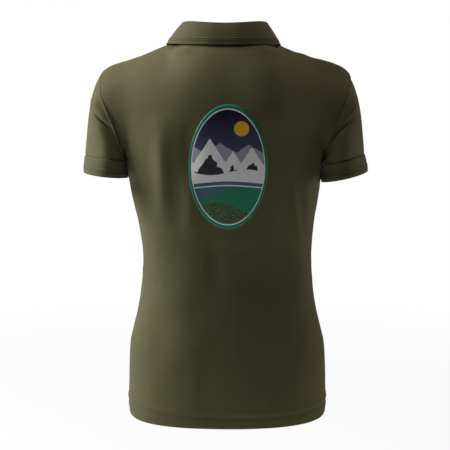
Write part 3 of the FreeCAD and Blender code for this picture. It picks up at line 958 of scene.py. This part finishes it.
def bandPoint(a, b, lift, roll):
    cut = placketCut
    x = (a * 2 - 1) * cut["halfWidth"]
    z = cut["bottom"] + (cut["top"] - cut["bottom"]) * b
    spot, normal = onCloth(x / 1000, z / 1000, True)
    if spot is None:
        spot, normal, face, distance = clothSurface.find_nearest(Vector((x, 66, z)) / 1000)
    edge = min(cut["halfWidth"] - abs(x), z - cut["bottom"])
    lift -= roll * bell(edge, cut["turnWidth"])
    lift -= cut["quilt"] * bell(edge - cut["stitchIn"], cut["quiltWidth"])
    lift -= cut["quilt"] * bell(z - cut["bottom"] - cut["boxHeight"], cut["quiltWidth"])
    lift += 0.25 * noise.noise(Vector((x / 9, z / 14, 2)))
    return (spot + normal * (lift / 1000)) * 1000


def facedAlongDepth(piece, way):
    # turns a sheet over if it looks the wrong way along the depth
    if sum(p.normal.y * p.area for p in piece.data.polygons) * way < 0:
        edited(piece, bpy.ops.mesh.flip_normals)


placketUpper = clothGrid(
    "placketUpper", 48, 180, lambda a, b: bandPoint(a, b, placketCut["upperLift"], placketCut["turn"]),
)
placketUnder = clothGrid("placketUnder", 16, 90, lambda a, b: bandPoint(a, b, placketCut["underLift"], 0.0))
for piece in (placketUpper, placketUnder):
    faceOut(piece)
    facedAlongDepth(piece, 1)
    thicken(piece, placketCut["thickness"])
upperSurface = surfaceOf(placketUpper)
print("placket made")


def onPlacket(x, z):
    # where a line along the depth meets the upper placket, with its outward normal
    spot, normal, face, distance = upperSurface.ray_cast(Vector((x, 0.4, z)), Vector((0, -1, 0)))
    return spot, normal


# the neck tape covers the collar's seam inside the neck, from shoulder to shoulder
tapeCut = {
    "height": 12.0,
    "reach": 0.53,          # share of the neck's seam that it covers on each side
    "inward": 2.6,          # from the seam towards the neck
    "up": 2.0,
    "thickness": 0.7,
}


def tapePoint(a, b):
    across = (a * 2 - 1) * tapeCut["reach"]
    side = -1 if across < 0 else 1
    seam = mirrored(along(neckSeam, abs(across)), side)
    up = (b - 0.55) * tapeCut["height"] + tapeCut["up"]
    inward = tapeCut["inward"] + 0.5 * (1 - b)
    return seam - outward(neckSeam, abs(across), side) * inward + Vector((0, 0, up))


neckTape = clothGrid("neckTape", 90, 8, tapePoint)
faceOut(neckTape)
thicken(neckTape, tapeCut["thickness"])
print("neck tape made")

# the print on the back: a thin oval film that follows the cloth
printCut = {
    "middle": (5.5, -200.0),
    "halfWidth": 64.0,
    "halfHeight": 102.0,
    "rings": 26,
    "lift": 0.22,           # from the cloth to the film's outside
    "thickness": 0.16,
}


def ovalFilm(name, cut):
    clear()
    bpy.ops.mesh.primitive_circle_add(vertices=128, radius=1, fill_type="NGON")
    piece = bpy.context.object
    piece.name = name
    bpy.ops.object.mode_set(mode="EDIT")
    bpy.ops.mesh.select_all(action="SELECT")
    for ring in range(cut["rings"]):
        bpy.ops.mesh.inset(thickness=0.975 / cut["rings"])
    bpy.ops.mesh.poke()
    bpy.ops.object.mode_set(mode="OBJECT")
    mesh = piece.data
    mesh.uv_layers.new(name="print")
    flat = [v.co.copy() for v in mesh.vertices]
    for vertex, place in zip(mesh.vertices, flat):
        x = cut["middle"][0] + place.x * cut["halfWidth"]
        z = cut["middle"][1] + place.y * cut["halfHeight"]
        spot, normal = onCloth(x / 1000, z / 1000, False)
        vertex.co = spot + normal * (cut["lift"] / 1000)
    for loop in mesh.loops:
        mesh.uv_layers.active.data[loop.index].uv = flat[loop.vertex_index].xy
    facedAlongDepth(piece, -1)
    smooth(piece)
    thicken(piece, cut["thickness"])


ovalFilm("backPrint", printCut)
print("print laid on")

# stitching; from here on, small things are measured in metres
threadCut = {
    "pitch": 0.0029,        # from one stitch to the next
    "length": 0.0023,
    "radius": 0.00028,
    "hemRise": 0.00006,     # how far the middle of the thread lies over the cloth at the hem
    "bandRise": 0.0001,     # and on the placket
    "besideArmhole": 0.0020,    # from the seam to the row beside it
    "besideShoulder": 0.0016,
}


def besideSeam(spots, offset, surface):
    # a line beside a seam, on a surface; offset is to the left of the walk seen from outside
    spots = evenly(spots, len(spots))
    made = []
    for k, spot in enumerate(spots):
        ahead = spots[min(k + 1, len(spots) - 1)] - spots[max(k - 1, 0)]
        near, normal, face, distance = surface.find_nearest(spot)
        aside = normal.cross(ahead).normalized()
        near, normal, face, distance = surface.find_nearest(spot + aside * offset)
        made.append(near)
    return made


def stitchRow(name, spots):
    # one stitch, repeated along a line and bent to follow it
    clear()
    bpy.ops.mesh.primitive_uv_sphere_add(segments=6, ring_count=4, radius=1)
    piece = bpy.context.object
    piece.name = name
    length, radius = threadCut["length"], threadCut["radius"]
    piece.rotation_euler = (0, math.radians(90), 0)
    piece.scale = (radius, radius, length / 2)
    bpy.ops.object.transform_apply(location=False, rotation=True, scale=True)
    edited(piece, bpy.ops.transform.translate, value=(length / 2, 0, 0))
    path = bpy.data.curves.new(name + "Path", "CURVE")
    path.dimensions = "3D"
    line = path.splines.new("POLY")
    line.points.add(len(spots) - 1)
    for point, spot in zip(line.points, spots):
        point.co = (*spot, 1)
    guide = bpy.data.objects.new(name + "Path", path)
    bpy.context.collection.objects.link(guide)
    modified(piece, "ARRAY", fit_type="FIT_CURVE", curve=guide, use_relative_offset=False,
             use_constant_offset=True, constant_offset_displace=(threadCut["pitch"], 0, 0))
    modified(piece, "CURVE", object=guide, deform_axis="POS_X")
    bpy.data.objects.remove(guide)
    smooth(piece)
    return piece


def hemStitchLine(front, up):
    spots = []
    for k in range(121):
        point = panelPoint((k / 60 - 1) * 0.985, 0, front)
        point.z += up
        near, normal, face, distance = clothSurface.find_nearest(point / 1000)
        spots.append(near + normal * threadCut["hemRise"])
    return spots


threads = [joined("hemStitches", [
    stitchRow("hemRow%d%d" % (front, k), hemStitchLine(front, hemTurn["line"] - k * hemTurn["rowGap"]))
    for front in (False, True) for k in range(2)
])]
for word, side in sides:
    # the armhole's row is on the sleeve's side, away from the body; the shoulder's is on the back
    sleeve = surfaceOf(panels["sleeve" + word])
    inBody = Vector((0.1 * side, 0, -0.12))
    rows = [besideSeam(seamLines["armhole" + word], threadCut["besideArmhole"] * way, sleeve)
            for way in (1, -1)]
    outer = max(rows, key=lambda row: sum((p - inBody).length for p in row))
    threads.append(stitchRow("armholeStitches" + word, outer))
    rows = [besideSeam(seamLines["shoulder" + word], threadCut["besideShoulder"] * way, clothSurface)
            for way in (1, -1)]
    rear = min(rows, key=lambda row: sum(p.y for p in row))
    threads.append(stitchRow("shoulderStitches" + word, rear))


def bandStitchLine(points):
    # a line over the upper placket through (x, z) corners in millimetres
    spots = []
    for (x0, z0), (x1, z1) in zip(points, points[1:]):
        count = max(2, int(math.hypot(x1 - x0, z1 - z0) / 1.5))
        for k in range(count + 1):
            t = k / count
            spot, normal = onPlacket((x0 + (x1 - x0) * t) / 1000, (z0 + (z1 - z0) * t) / 1000)
            if spot:
                spots.append(spot + normal * threadCut["bandRise"])
    return spots


inset = placketCut["halfWidth"] - placketCut["stitchIn"]
head = placketCut["top"] - 1
foot = placketCut["bottom"] + placketCut["stitchIn"]
shelf = placketCut["bottom"] + placketCut["boxHeight"]
threads.append(joined("placketStitches", [
    stitchRow("placketRow%d" % k, bandStitchLine(points)) for k, points in enumerate([
        [(inset, head), (inset, foot), (-inset, foot), (-inset, head)],
        [(-inset, shelf), (inset, shelf)],
        [(-inset, foot), (inset, shelf)],
        [(-inset, shelf), (inset, foot)],
    ])
]))
print("stitching sewn")

# buttons: dished, with a rolled rim, four holes and crossed thread
buttonCut = {
    "count": 4,
    "radius": 0.0055,
    "thickness": 0.0022,
    "rim": 0.00135,
    "rimRound": 0.00042,
    "dish": 0.00055,
    "hole": 0.00085,
    "holeRound": 0.00012,
    "holeCircle": 0.00165,
    "thread": 0.0002046,    # radius of the thread, and the step from one turn to the next
    "shank": 0.0013,        # radius of the thread wound under the button
    "standOff": 0.00035,    # from the placket to the button
    "turned": (7, -11, 4, 15),      # degrees that each is turned on its thread
}


def roundEdges(piece, width, segments, degrees):
    # bevels the edges that are sharper than an angle
    modified(piece, "BEVEL", width=width, segments=segments, limit_method="ANGLE",
             angle_limit=math.radians(degrees))


def makeButton(name):
    cut = buttonCut
    clear()
    bpy.ops.mesh.primitive_cylinder_add(vertices=56, radius=cut["radius"], depth=cut["thickness"])
    piece = bpy.context.object
    piece.name = name
    edited(piece, bpy.ops.mesh.select_all, action="DESELECT")
    for polygon in piece.data.polygons:
        polygon.select = polygon.normal.z > 0.9
    bpy.ops.object.mode_set(mode="EDIT")
    bpy.ops.mesh.select_mode(type="FACE")
    bpy.ops.mesh.inset(thickness=cut["rim"])
    bpy.ops.mesh.inset(thickness=cut["rim"] * 0.4)
    bpy.ops.transform.translate(value=(0, 0, -cut["dish"]))
    bpy.ops.mesh.inset(thickness=cut["rim"] * 0.5)
    bpy.ops.object.mode_set(mode="OBJECT")
    roundEdges(piece, cut["rimRound"], 3, 35)
    drills = []
    for k in range(4):
        angle = math.radians(45 + 90 * k)
        clear()
        place = (math.cos(angle) * cut["holeCircle"], math.sin(angle) * cut["holeCircle"], 0)
        bpy.ops.mesh.primitive_cylinder_add(vertices=20, radius=cut["hole"], depth=0.006, location=place)
        drills.append(bpy.context.object)
    drill = joined("drill", drills)
    activate(drill)
    bpy.ops.object.transform_apply(location=True, rotation=True, scale=True)
    modified(piece, "BOOLEAN", object=drill, operation="DIFFERENCE", solver="EXACT")
    bpy.data.objects.remove(drill)
    roundEdges(piece, cut["holeRound"], 2, 50)
    activate(piece)
    bpy.ops.object.shade_smooth_by_angle(angle=math.radians(40))
    return piece


def makeThread(name):
    # two crossing bundles through the holes, of three turns each, and the shank underneath
    cut = buttonCut
    strands = []
    high = cut["thickness"] / 2 - cut["dish"] - 0.0005
    for k in range(2):
        for turn in (-1, 0, 1):
            clear()
            bpy.ops.mesh.primitive_torus_add(
                major_segments=28, minor_segments=7, major_radius=cut["holeCircle"],
                minor_radius=cut["thread"], rotation=(math.radians(90), 0, 0),
            )
            strand = bpy.context.object
            bpy.ops.object.transform_apply(location=True, rotation=True, scale=True)
            strand.scale = (1.0, 1.0, 0.62)
            strand.location = (0, turn * cut["thread"], high + 0.00012 * k)
            bpy.ops.object.transform_apply(location=True, rotation=True, scale=True)
            strand.rotation_euler = (0, 0, math.radians(45 + 90 * k))
            bpy.ops.object.transform_apply(location=True, rotation=True, scale=True)
            strands.append(strand)
    clear()
    bpy.ops.mesh.primitive_cylinder_add(
        vertices=16, radius=cut["shank"], depth=0.0012, location=(0, 0, -0.0014),
    )
    strands.append(bpy.context.object)
    bpy.ops.object.transform_apply(location=True, rotation=True, scale=True)
    made = joined(name, strands)
    activate(made)
    bpy.ops.object.shade_smooth_by_angle(angle=math.radians(60))
    return made


def seated(pattern, name, spot, normal, turn):
    # a copy of a pattern piece, set on the surface with its own mesh
    made = pattern.copy()
    made.data = pattern.data.copy()
    made.name = name
    bpy.context.collection.objects.link(made)
    side = Vector((0, 0, 1)).cross(normal).normalized()
    facing = Matrix((side, normal.cross(side), normal)).transposed().to_4x4()
    made.data.transform(Matrix.Translation(spot) @ facing @ Matrix.Rotation(turn, 4, "Z"))
    return made


# buttonholes: a slit worked round with close stitches, under each button
holeCut = {
    "length": 0.0125,
    "width": 0.0023,
    "pitch": 0.00055,       # from one stitch to the next
    "stitch": (0.00062, 0.00022, 0.00024),      # half its sizes
}


def makeButtonhole(name, middle):
    clear()
    bpy.ops.mesh.primitive_uv_sphere_add(segments=6, ring_count=4, radius=1)
    bead = bpy.context.object
    made = []
    for side in (-1, 1):
        for k in range(int(holeCut["length"] / holeCut["pitch"])):
            z = middle - holeCut["length"] / 2 + k * holeCut["pitch"]
            spot, normal = onPlacket(side * holeCut["width"] / 4, z)
            stitch = bead.copy()
            stitch.data = bead.data.copy()
            bpy.context.collection.objects.link(stitch)
            place = Matrix.Translation(spot + normal * threadCut["bandRise"])
            stitch.data.transform(place @ Matrix.Diagonal((*holeCut["stitch"], 1)))
            made.append(stitch)
    bpy.data.objects.remove(bead)
    return joined(name, made)


buttonPattern = makeButton("buttonPattern")
threadPattern = makeThread("threadPattern")
buttons, buttonThreads, buttonholes = [], [], []
for k in range(buttonCut["count"]):
    low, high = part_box("button_%d" % (k + 1))
    middle = (low[2] + high[2]) / 2
    spot, normal = onPlacket(0.0, middle)
    turn = math.radians(buttonCut["turned"][k])
    raised = spot + normal * (buttonCut["thickness"] / 2 + buttonCut["standOff"])
    buttons.append(seated(buttonPattern, "button%d" % (k + 1), raised, normal, turn))
    buttonThreads.append(seated(threadPattern, "buttonThread%d" % (k + 1), raised, normal, turn))
    buttonholes.append(makeButtonhole("buttonhole%d" % (k + 1), middle))
for pattern in (buttonPattern, threadPattern):
    bpy.data.objects.remove(pattern)
print("buttons sewn on, buttonholes worked")

number, vector, colour = "NodeSocketFloat", "NodeSocketVector", "NodeSocketColor"


class wire:
    # an output of a shader node, which can be added, multiplied and compared
    def __init__(self, tree, socket):
        self.tree = tree
        self.socket = socket

    def __add__(self, other):
        return self.tree.math("ADD", self, other)

    def __radd__(self, other):
        return self.tree.math("ADD", other, self)

    def __sub__(self, other):
        return self.tree.math("SUBTRACT", self, other)

    def __rsub__(self, other):
        return self.tree.math("SUBTRACT", other, self)

    def __mul__(self, other):
        return self.tree.math("MULTIPLY", self, other)

    def __lt__(self, other):
        return self.tree.math("LESS_THAN", self, other)

    def __gt__(self, other):
        return self.tree.math("GREATER_THAN", self, other)


class nodeTree:
    # adds shader nodes and links them
    def __init__(self, tree):
        self.tree = tree

    def fill(self, node, inputs):
        # each input by its name or place: a wire is linked, anything else is its value
        for key, value in inputs.items():
            socket = node.inputs[key]
            if isinstance(value, wire):
                self.tree.links.new(value.socket, socket)
            elif socket.type == "RGBA":
                socket.default_value = (*value, 1)
            else:
                socket.default_value = value

    def add(self, kind, inputs=None, **values):
        # a new node's outputs, by name and by place
        node = self.tree.nodes.new(("" if kind.startswith("NodeGroup") else "ShaderNode") + kind)
        for key, value in values.items():
            setattr(node, key, value)
        self.fill(node, inputs or {})
        outputs = {}
        for k, socket in enumerate(node.outputs):
            outputs[k] = outputs[socket.name] = wire(self, socket)
        return outputs

    def math(self, operation, *values):
        return self.add("Math", dict(enumerate(values)), operation=operation)[0]

    def noise(self, place, scale, detail):
        return self.add("TexNoise", {"Vector": place, "Scale": scale, "Detail": detail})[0]

    def vectors(self, operation, first, second):
        return self.add("VectorMath", {0: first, 1: second}, operation=operation)[0]

    def scaled(self, place, by):
        return self.add("VectorMath", {0: place, "Scale": by}, operation="SCALE")[0]

    def blend(self, share, low, high):
        return self.add("Mix", {0: share, 6: low, 7: high}, data_type="RGBA")[2]

    def bump(self, height, strength, distance):
        return self.add("Bump", {"Height": height, "Strength": strength, "Distance": distance})[0]


def newGroup(name, inputs, outputs, build):
    # build is given the tree and the inputs by name, and gives back the outputs by name
    group = bpy.data.node_groups.new(name, "ShaderNodeTree")
    for label, kind, value in inputs:
        made = group.interface.new_socket(name=label, in_out="INPUT", socket_type=kind)
        if value is not None:
            made.default_value = value
    for label, kind in outputs:
        group.interface.new_socket(name=label, in_out="OUTPUT", socket_type=kind)
    tree = nodeTree(group)
    tree.add("NodeGroupOutput", build(tree, tree.add("NodeGroupInput")))
    return group


def knitGroup(name, cells):
    # a knit as a height and a mask of its hollows, over a UV map in metres
    def build(tree, given):
        # the courses wander a little, as knitted cloth does
        drift = tree.add("TexNoise", {"Vector": given["Cloth"], "Scale": 60})["Color"]
        wander = tree.scaled(tree.vectors("SUBTRACT", drift, (0.5, 0.5, 0.5)), given["Waver"])
        place = tree.add("SeparateXYZ", {0: tree.vectors("ADD", given["Cloth"], wander)})
        turns = tree.math("DIVIDE", math.pi * 2, given["Cell"])
        height = cells(tree, place[0] * turns, place[1] * turns)
        return {"Height": height, "Hollow": 1.0 - height}

    return newGroup(
        name, [("Cloth", vector, None), ("Cell", number, 0.0019), ("Waver", number, 0.0004)],
        [("Height", number), ("Hollow", number)], build,
    )


def piqueCells(tree, u, v):
    # small honeycomb cells of a pique knit
    cells = tree.math("COSINE", u + v * 0.58) + tree.math("COSINE", u - v * 0.58)
    return cells * 0.22 + tree.math("COSINE", v * 2.32) * 0.07 + 0.5


def ribWales(tree, u, v):
    # upright wales of a flat-knitted rib
    return tree.math("COSINE", u) * 0.36 + tree.math("COSINE", v * 1.9) * 0.12 + 0.5


def herringbone(tree, u, v):
    # a twill that turns back on itself
    return tree.math("SINE", v + tree.math("PINGPONG", u * 0.16, 1.0) * 12.0) * 0.45 + 0.5


def yarnTwist(tree, u, v):
    # the lay of a plied thread
    return tree.math("SINE", u + v * 1.4) * 0.45 + 0.5


knits = {
    "pique": knitGroup("piqueKnit", piqueCells),
    "rib": knitGroup("ribKnit", ribWales),
    "tape": knitGroup("herringboneTape", herringbone),
    "thread": knitGroup("threadLay", yarnTwist),
}


def dyeAndWear(tree, given):
    # uneven dye, rubbed high spots and stray fibres, from fine specks to broad patches, and painted shade
    # that darkens the knit's hollows
    place, hollow = given["Place"], given["Hollow"]
    fine = tree.noise(place, 950, 2)
    broad = tree.noise(place, 17, 4)
    slub = tree.noise(tree.vectors("MULTIPLY", place, (1.0, 1.0, 9.0)), 95, 2)
    spread = (fine - 0.5) * 1.5 + ((broad - 0.5) + (slub - 0.5) * 0.9)
    # painted shade: the colour is darkened in the knit's hollows, on top of the random tone
    toneAndPaintedShade = (1.0 + spread * given["Unevenness"]) * (1.0 - hollow * given["Depth"])
    worn = tree.blend((1.0 - hollow) * (broad * given["Wear"]), given["Colour"], given["Rubbed"])
    return {"Colour": tree.scaled(worn, toneAndPaintedShade), "Roughness": 0.80 + broad * 0.14, "Fibre": fine}


dyeWearShadeGroup = newGroup(
    "dyeAndWear",
    [("Place", vector, None), ("Hollow", number, 0.0),
     ("Colour", colour, (0.1, 0.1, 0.05, 1)), ("Rubbed", colour, (0.2, 0.2, 0.12, 1)),
     ("Depth", number, 0.25), ("Unevenness", number, 0.12), ("Wear", number, 0.2)],
    [("Colour", colour), ("Roughness", number), ("Fibre", number)], dyeAndWear,
)


def newMaterial(name, values):
    made = bpy.data.materials.new(name)
    made.use_nodes = True
    tree = nodeTree(made.node_tree)
    shader = made.node_tree.nodes["Principled BSDF"]
    tree.fill(shader, values)
    return made, tree, shader


# each look's hollows value is painted shade: how much the knit's hollows are darkened in its colour
clothLooks = {
    "pique": {
        "name": "militaryPique", "colour": (0.120, 0.115, 0.051), "sheen": 0.06,
        "cell": 0.0019,         # width of one cell of the knit
        "waver": 0.0004,        # how far its courses wander
        "hollows": 0.3,         # how much darker its hollows are
        "wear": 0.2,            # how much painted shade darkens its hollows
        "bump": 0.5,
        "relief": 0.0004,
    },
    "rib": {
        "name": "militaryRib", "colour": (0.102, 0.098, 0.043), "sheen": 0.06, "cell": 0.0019,
        "waver": 0.0004, "hollows": 0.22, "wear": 0.25, "bump": 0.35, "relief": 0.0003,
    },
    "tape": {
        "name": "herringboneTape", "colour": (0.133, 0.127, 0.062), "sheen": 0.06, "cell": 0.0016,
        "waver": 0.0001, "hollows": 0.35, "wear": 0.2, "bump": 0.6, "relief": 0.0003,
    },
    "thread": {
        "name": "sewingThread", "colour": (0.146, 0.141, 0.068), "sheen": 0.15, "cell": 0.0006,
        "waver": 0.0, "hollows": 0.25, "wear": 0.2, "bump": 0.5, "relief": 0.0001,
    },
}


def clothFinish(knit, look):
    made, tree, shader = newMaterial(look["name"], {
        "Specular IOR Level": 0.2, "Sheen Weight": look["sheen"], "Sheen Roughness": 0.45,
    })
    places = tree.add("TexCoord")
    weave = tree.add("Group", {"Cloth": places["UV"], "Cell": look["cell"], "Waver": look["waver"]},
                     node_tree=knits[knit])
    rubbed = [part * 1.5 + 0.01 for part in look["colour"]]
    # the dye group darkens the knit's hollows with painted shade
    dyed = tree.add("Group", {
        "Place": places["Object"], "Colour": look["colour"], "Rubbed": rubbed,
        "Hollow": weave["Hollow"], "Depth": look["hollows"], "Unevenness": 0.18, "Wear": look["wear"],
    }, node_tree=dyeWearShadeGroup)
    tree.fill(shader, {
        "Base Color": dyed["Colour"], "Roughness": dyed["Roughness"],
        "Normal": tree.bump(weave["Height"] + dyed["Fibre"] * 0.25, look["bump"], look["relief"]),
    })
    return made


buttonLook = {"dark": (0.070, 0.066, 0.032), "pale": (0.135, 0.128, 0.070)}


def buttonFinish():
    # swirled resin under a soft polish
    made, tree, shader = newMaterial("resinButton", {"Coat Roughness": 0.12, "Coat Weight": 0.35})
    place = tree.add("TexCoord")["Object"]
    broad = tree.noise(place, 160, 3)
    swirl = tree.add("TexWave", {"Vector": place, "Scale": 90, "Distortion": 7, "Detail": 3})["Fac"]
    scuffs = tree.noise(place, 2300, 4)
    tree.fill(shader, {
        "Base Color": tree.blend(swirl * (broad * 0.7), buttonLook["dark"], buttonLook["pale"]),
        "Roughness": 0.18 + scuffs * 0.26,
        "Normal": tree.bump(scuffs, 0.12, 0.0001),
    })
    return made


printColours = {
    "green": (0.004, 0.215, 0.118),
    "leaf": (0.016, 0.115, 0.052),
    "white": (0.92, 0.93, 0.94),
    "night": (0.008, 0.009, 0.032),
    "dusk": (0.10, 0.105, 0.19),
    "rock": (0.030, 0.030, 0.045),
    "haze": (0.36, 0.36, 0.47),
    "sun": (0.86, 0.52, 0.030),
    "orange": (0.80, 0.19, 0.010),
    "lake": (0.05, 0.16, 0.21),
}


def hillView(tree, given):
    # night sky, sun, snowy range, lake and meadows in an oval, over the film's own map
    film, paint = given["Film"], printColours
    across = tree.add("SeparateXYZ", {0: film})
    u, v = across[0], across[1]
    up = v * (printCut["halfHeight"] / printCut["halfWidth"])
    ragged = tree.noise(film, 9, 4)

    def peaks(points, slope):
        # an uneven skyline: the highest of several cones
        best = None
        for x, top in points:
            cone = top - tree.math("ABSOLUTE", u - x) * slope
            best = cone if best is None else tree.math("MAXIMUM", best, cone)
        return best + (ragged - 0.5) * 0.10

    def rolling(height, swell, stretch, start):
        return height + tree.math("SINE", u * stretch + start) * swell

    def distance(x, y):
        return tree.math("SQRT", tree.math("POWER", x, 2.0) + tree.math("POWER", y, 2.0))

    look = tree.blend((1.35 - up) * 0.62, paint["night"], paint["dusk"])
    look = tree.blend(distance(u - 0.34, up - 0.98) < 0.19, look, paint["sun"])
    haze = peaks([(-0.85, 0.52), (-0.2, 0.62), (0.52, 0.58), (1.0, 0.44)], 0.62)
    look = tree.blend(up < haze, look, paint["haze"])
    mountains = peaks([(-0.46, 0.74), (0.12, 0.42), (0.60, 0.52), (-0.95, 0.22)], 1.55)
    look = tree.blend(up < mountains, look, paint["rock"])
    snowLine = (mountains - (0.10 + ragged * 0.5)) * 0.86
    look = tree.blend((up < mountains) * (up > snowLine), look, paint["white"])
    look = tree.blend(up < rolling(-0.12, 0.07, 3.4, 0.0), look, paint["white"])
    shore = rolling(-0.40, 0.05, 2.2, math.pi / 2)
    look = tree.blend(up < shore, look, paint["lake"])
    look = tree.blend((up < shore - 0.09) * (up > shore - 0.12), look, paint["white"])
    look = tree.blend(up < rolling(-0.66, 0.15, 2.6, 0.7), look, paint["green"])
    meadow = up < rolling(-1.02, 0.13, 3.1, 2.6)
    look = tree.blend(meadow, look, paint["leaf"])
    look = tree.blend((tree.noise(film, 34, 1) > 0.66) * meadow, look, paint["orange"])
    # a white line and a green rim
    reach = distance(u, v)
    look = tree.blend(reach > 0.915, look, paint["white"])
    return {"Colour": tree.blend(reach > 0.935, look, paint["green"])}


def printFinish():
    # ink on a thin film, with the pique showing through it
    made, tree, shader = newMaterial("transferPrint", {"Specular IOR Level": 0.35})
    places = tree.add("TexCoord")
    picture = newGroup("hillView", [("Film", vector, None)], [("Colour", colour)], hillView)
    ink = tree.add("Group", {"Film": places["UV"]}, node_tree=picture)["Colour"]
    halves = (printCut["halfWidth"] / 1000, printCut["halfHeight"] / 1000, 1.0)
    metres = tree.vectors("MULTIPLY", places["UV"], halves)
    weave = tree.add("Group", {"Cloth": metres}, node_tree=knits["pique"])
    # the pique's hollows darken the ink with painted shade
    dyed = tree.add("Group", {
        "Place": places["Object"], "Colour": ink, "Rubbed": ink, "Hollow": weave["Hollow"],
        "Depth": 0.10, "Unevenness": 0.08,
    }, node_tree=dyeWearShadeGroup)
    tree.fill(shader, {
        "Base Color": dyed["Colour"], "Roughness": dyed["Roughness"] - 0.38,
        "Normal": tree.bump(weave["Height"], 0.35, 0.0002),
    })
    return made


finishes = {knit: clothFinish(knit, look) for knit, look in clothLooks.items()}
finishes["button"] = buttonFinish()
finishes["print"] = printFinish()


def finish(piece, name, slot, *nodes):
    piece.data.materials.clear()
    piece.data.materials.append(finishes[name])
    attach(piece, "root")
    if nodes:
        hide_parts(*nodes)


for k, (button, thread) in enumerate(zip(buttons, buttonThreads)):
    finish(button, "button", "button", "button_%d" % (k + 1))
    finish(thread, "thread", "pique")
for piece in threads + buttonholes:
    finish(piece, "thread", "pique")

holeNames = [piece.name for piece in buttonholes]
# each piece of cloth: its finish, the part that it stands for, the rectangle it was cut from, its flat
# area where it isn't a rectangle, how it is held, what it hangs or lies on, and what is sewn to it
cloths = {
    "backPanel": ("pique", "back_panel", (0.46, 0.65), 0.272, "hung", ["frontPanel"],
                  ["hemStitches", "shoulderStitchesLeft", "shoulderStitchesRight"]),
    "frontPanel": ("pique", "front_panel", (0.46, 0.65), 0.260, "hung", ["backPanel"], []),
    "sleeveLeft": ("pique", "sleeve_left", (0.34, 0.15), 0.0238, "hung", ["backPanel", "frontPanel"],
                   ["armholeStitchesLeft"]),
    "sleeveRight": ("pique", "sleeve_right", (0.34, 0.15), 0.0236, "hung", ["backPanel", "frontPanel"],
                    ["armholeStitchesRight"]),
    "cuffRibLeft": ("rib", "cuff_left", (0.305, 0.039), None, "hung", ["sleeveLeft"], []),
    "cuffRibRight": ("rib", "cuff_right", (0.305, 0.039), None, "hung", ["sleeveRight"], []),
    "collarRib": ("rib", "collar", (0.48, 0.088), None, "folded", ["backPanel", "frontPanel"], []),
    "hemBack": ("pique", "hem_back", (0.455, 0.0196), None, "folded", ["backPanel"], []),
    "hemFront": ("pique", "hem_front", (0.455, 0.0196), None, "folded", ["frontPanel"], []),
    "placketUpper": ("pique", "placket_upper", (0.027, 0.178), None, "laid", ["frontPanel"],
                     ["placketStitches"] + holeNames),
    "placketUnder": ("pique", "placket_under", (0.027, 0.178), None, "laid", ["frontPanel"], []),
    "neckTape": ("tape", "neck_tape", (0.245, 0.012), None, "laid", ["collarRib", "backPanel"], []),
    "backPrint": ("print", "back_print", (0.128, 0.204), 0.0206, "laid", ["backPanel"], []),
}
for name, (look, node, flat, area, held, under, sewnOn) in cloths.items():
    piece = bpy.data.objects[name]
    finish(piece, look, look, node)
print("materials laid on")

studio = {
    "floor": -0.80,
    "aim": (0.0005, 0.0, -0.307),
    "distance": 2.7,
    "elevation": 7.2,
    "lens": 128.0,
    # place, power, size and colour of each lamp
    "lamps": {
        "key": ((-1.90, 0.17, 0.79), 69.0, 0.9, (1.0, 1.0, 1.0)),
        "top": ((0.0, -0.07, 1.69), 14.6, 0.9, (1.0, 0.93, 0.88)),
        "rim": ((2.12, 0.57, -0.33), 12.4, 0.9, (1.0, 0.90, 0.80)),
    },
    "floorSize": 14.0,
    "floorColour": (0.85, 0.85, 0.85),
    "floorGlow": 0.86,      # share of the floor that shines plain white towards the camera, near the object
    "glowFrom": 0.7,        # distances over which that share grows to all of it
    "glowTo": 2.2,
}
clear()
bpy.ops.mesh.primitive_plane_add(size=studio["floorSize"], location=(0, 0, studio["floor"]))
floor = bpy.context.object
floor.name = "floor"
paper, tree, bare = newMaterial("palePaper", {"Base Color": studio["floorColour"], "Roughness": 0.9})
spread = tree.add("VectorMath", {0: tree.add("TexCoord")["Object"]}, operation="LENGTH")["Value"]
fade = tree.add("MapRange", {
    0: spread, 1: studio["glowFrom"], 2: studio["glowTo"], 3: studio["floorGlow"], 4: 1.0,
}, interpolation_type="SMOOTHSTEP")[0]
shine = tree.add("LightPath")["Is Camera Ray"] * fade
mixed = tree.add("MixShader", {0: shine, 1: wire(tree, bare.outputs[0]), 2: tree.add("Emission")[0]})[0]
tree.fill(paper.node_tree.nodes["Material Output"], {"Surface": mixed})
floor.data.materials.append(paper)

# white to the camera, dark to the object, which the lamps light
world = bpy.data.worlds.new("studio")
bpy.context.scene.world = world
world.use_nodes = True
tree = nodeTree(world.node_tree)
tree.fill(world.node_tree.nodes["Background"], {
    "Color": (1, 1, 1), "Strength": tree.add("LightPath")["Is Camera Ray"],
})


def lamp(name, place, power, size, colour):
    clear()
    bpy.ops.object.light_add(type="AREA", location=place)
    made = bpy.context.object
    made.name = name
    made.data.energy = power
    made.data.size = size
    made.data.color = colour
    made.rotation_euler = (Vector(studio["aim"]) - Vector(place)).to_track_quat("-Z", "Y").to_euler()


for name, values in studio["lamps"].items():
    lamp(name, *values)

clear()
rise = math.radians(studio["elevation"])
bpy.ops.object.camera_add(
    location=Vector(studio["aim"]) + Vector((0, -math.cos(rise), math.sin(rise))) * studio["distance"],
    rotation=(math.radians(90) - rise, 0, 0),
)
camera = bpy.context.object
camera.data.sensor_width = 36
camera.data.lens = studio["lens"]
bpy.context.scene.camera = camera
bpy.context.scene.view_settings.view_transform = "Standard"
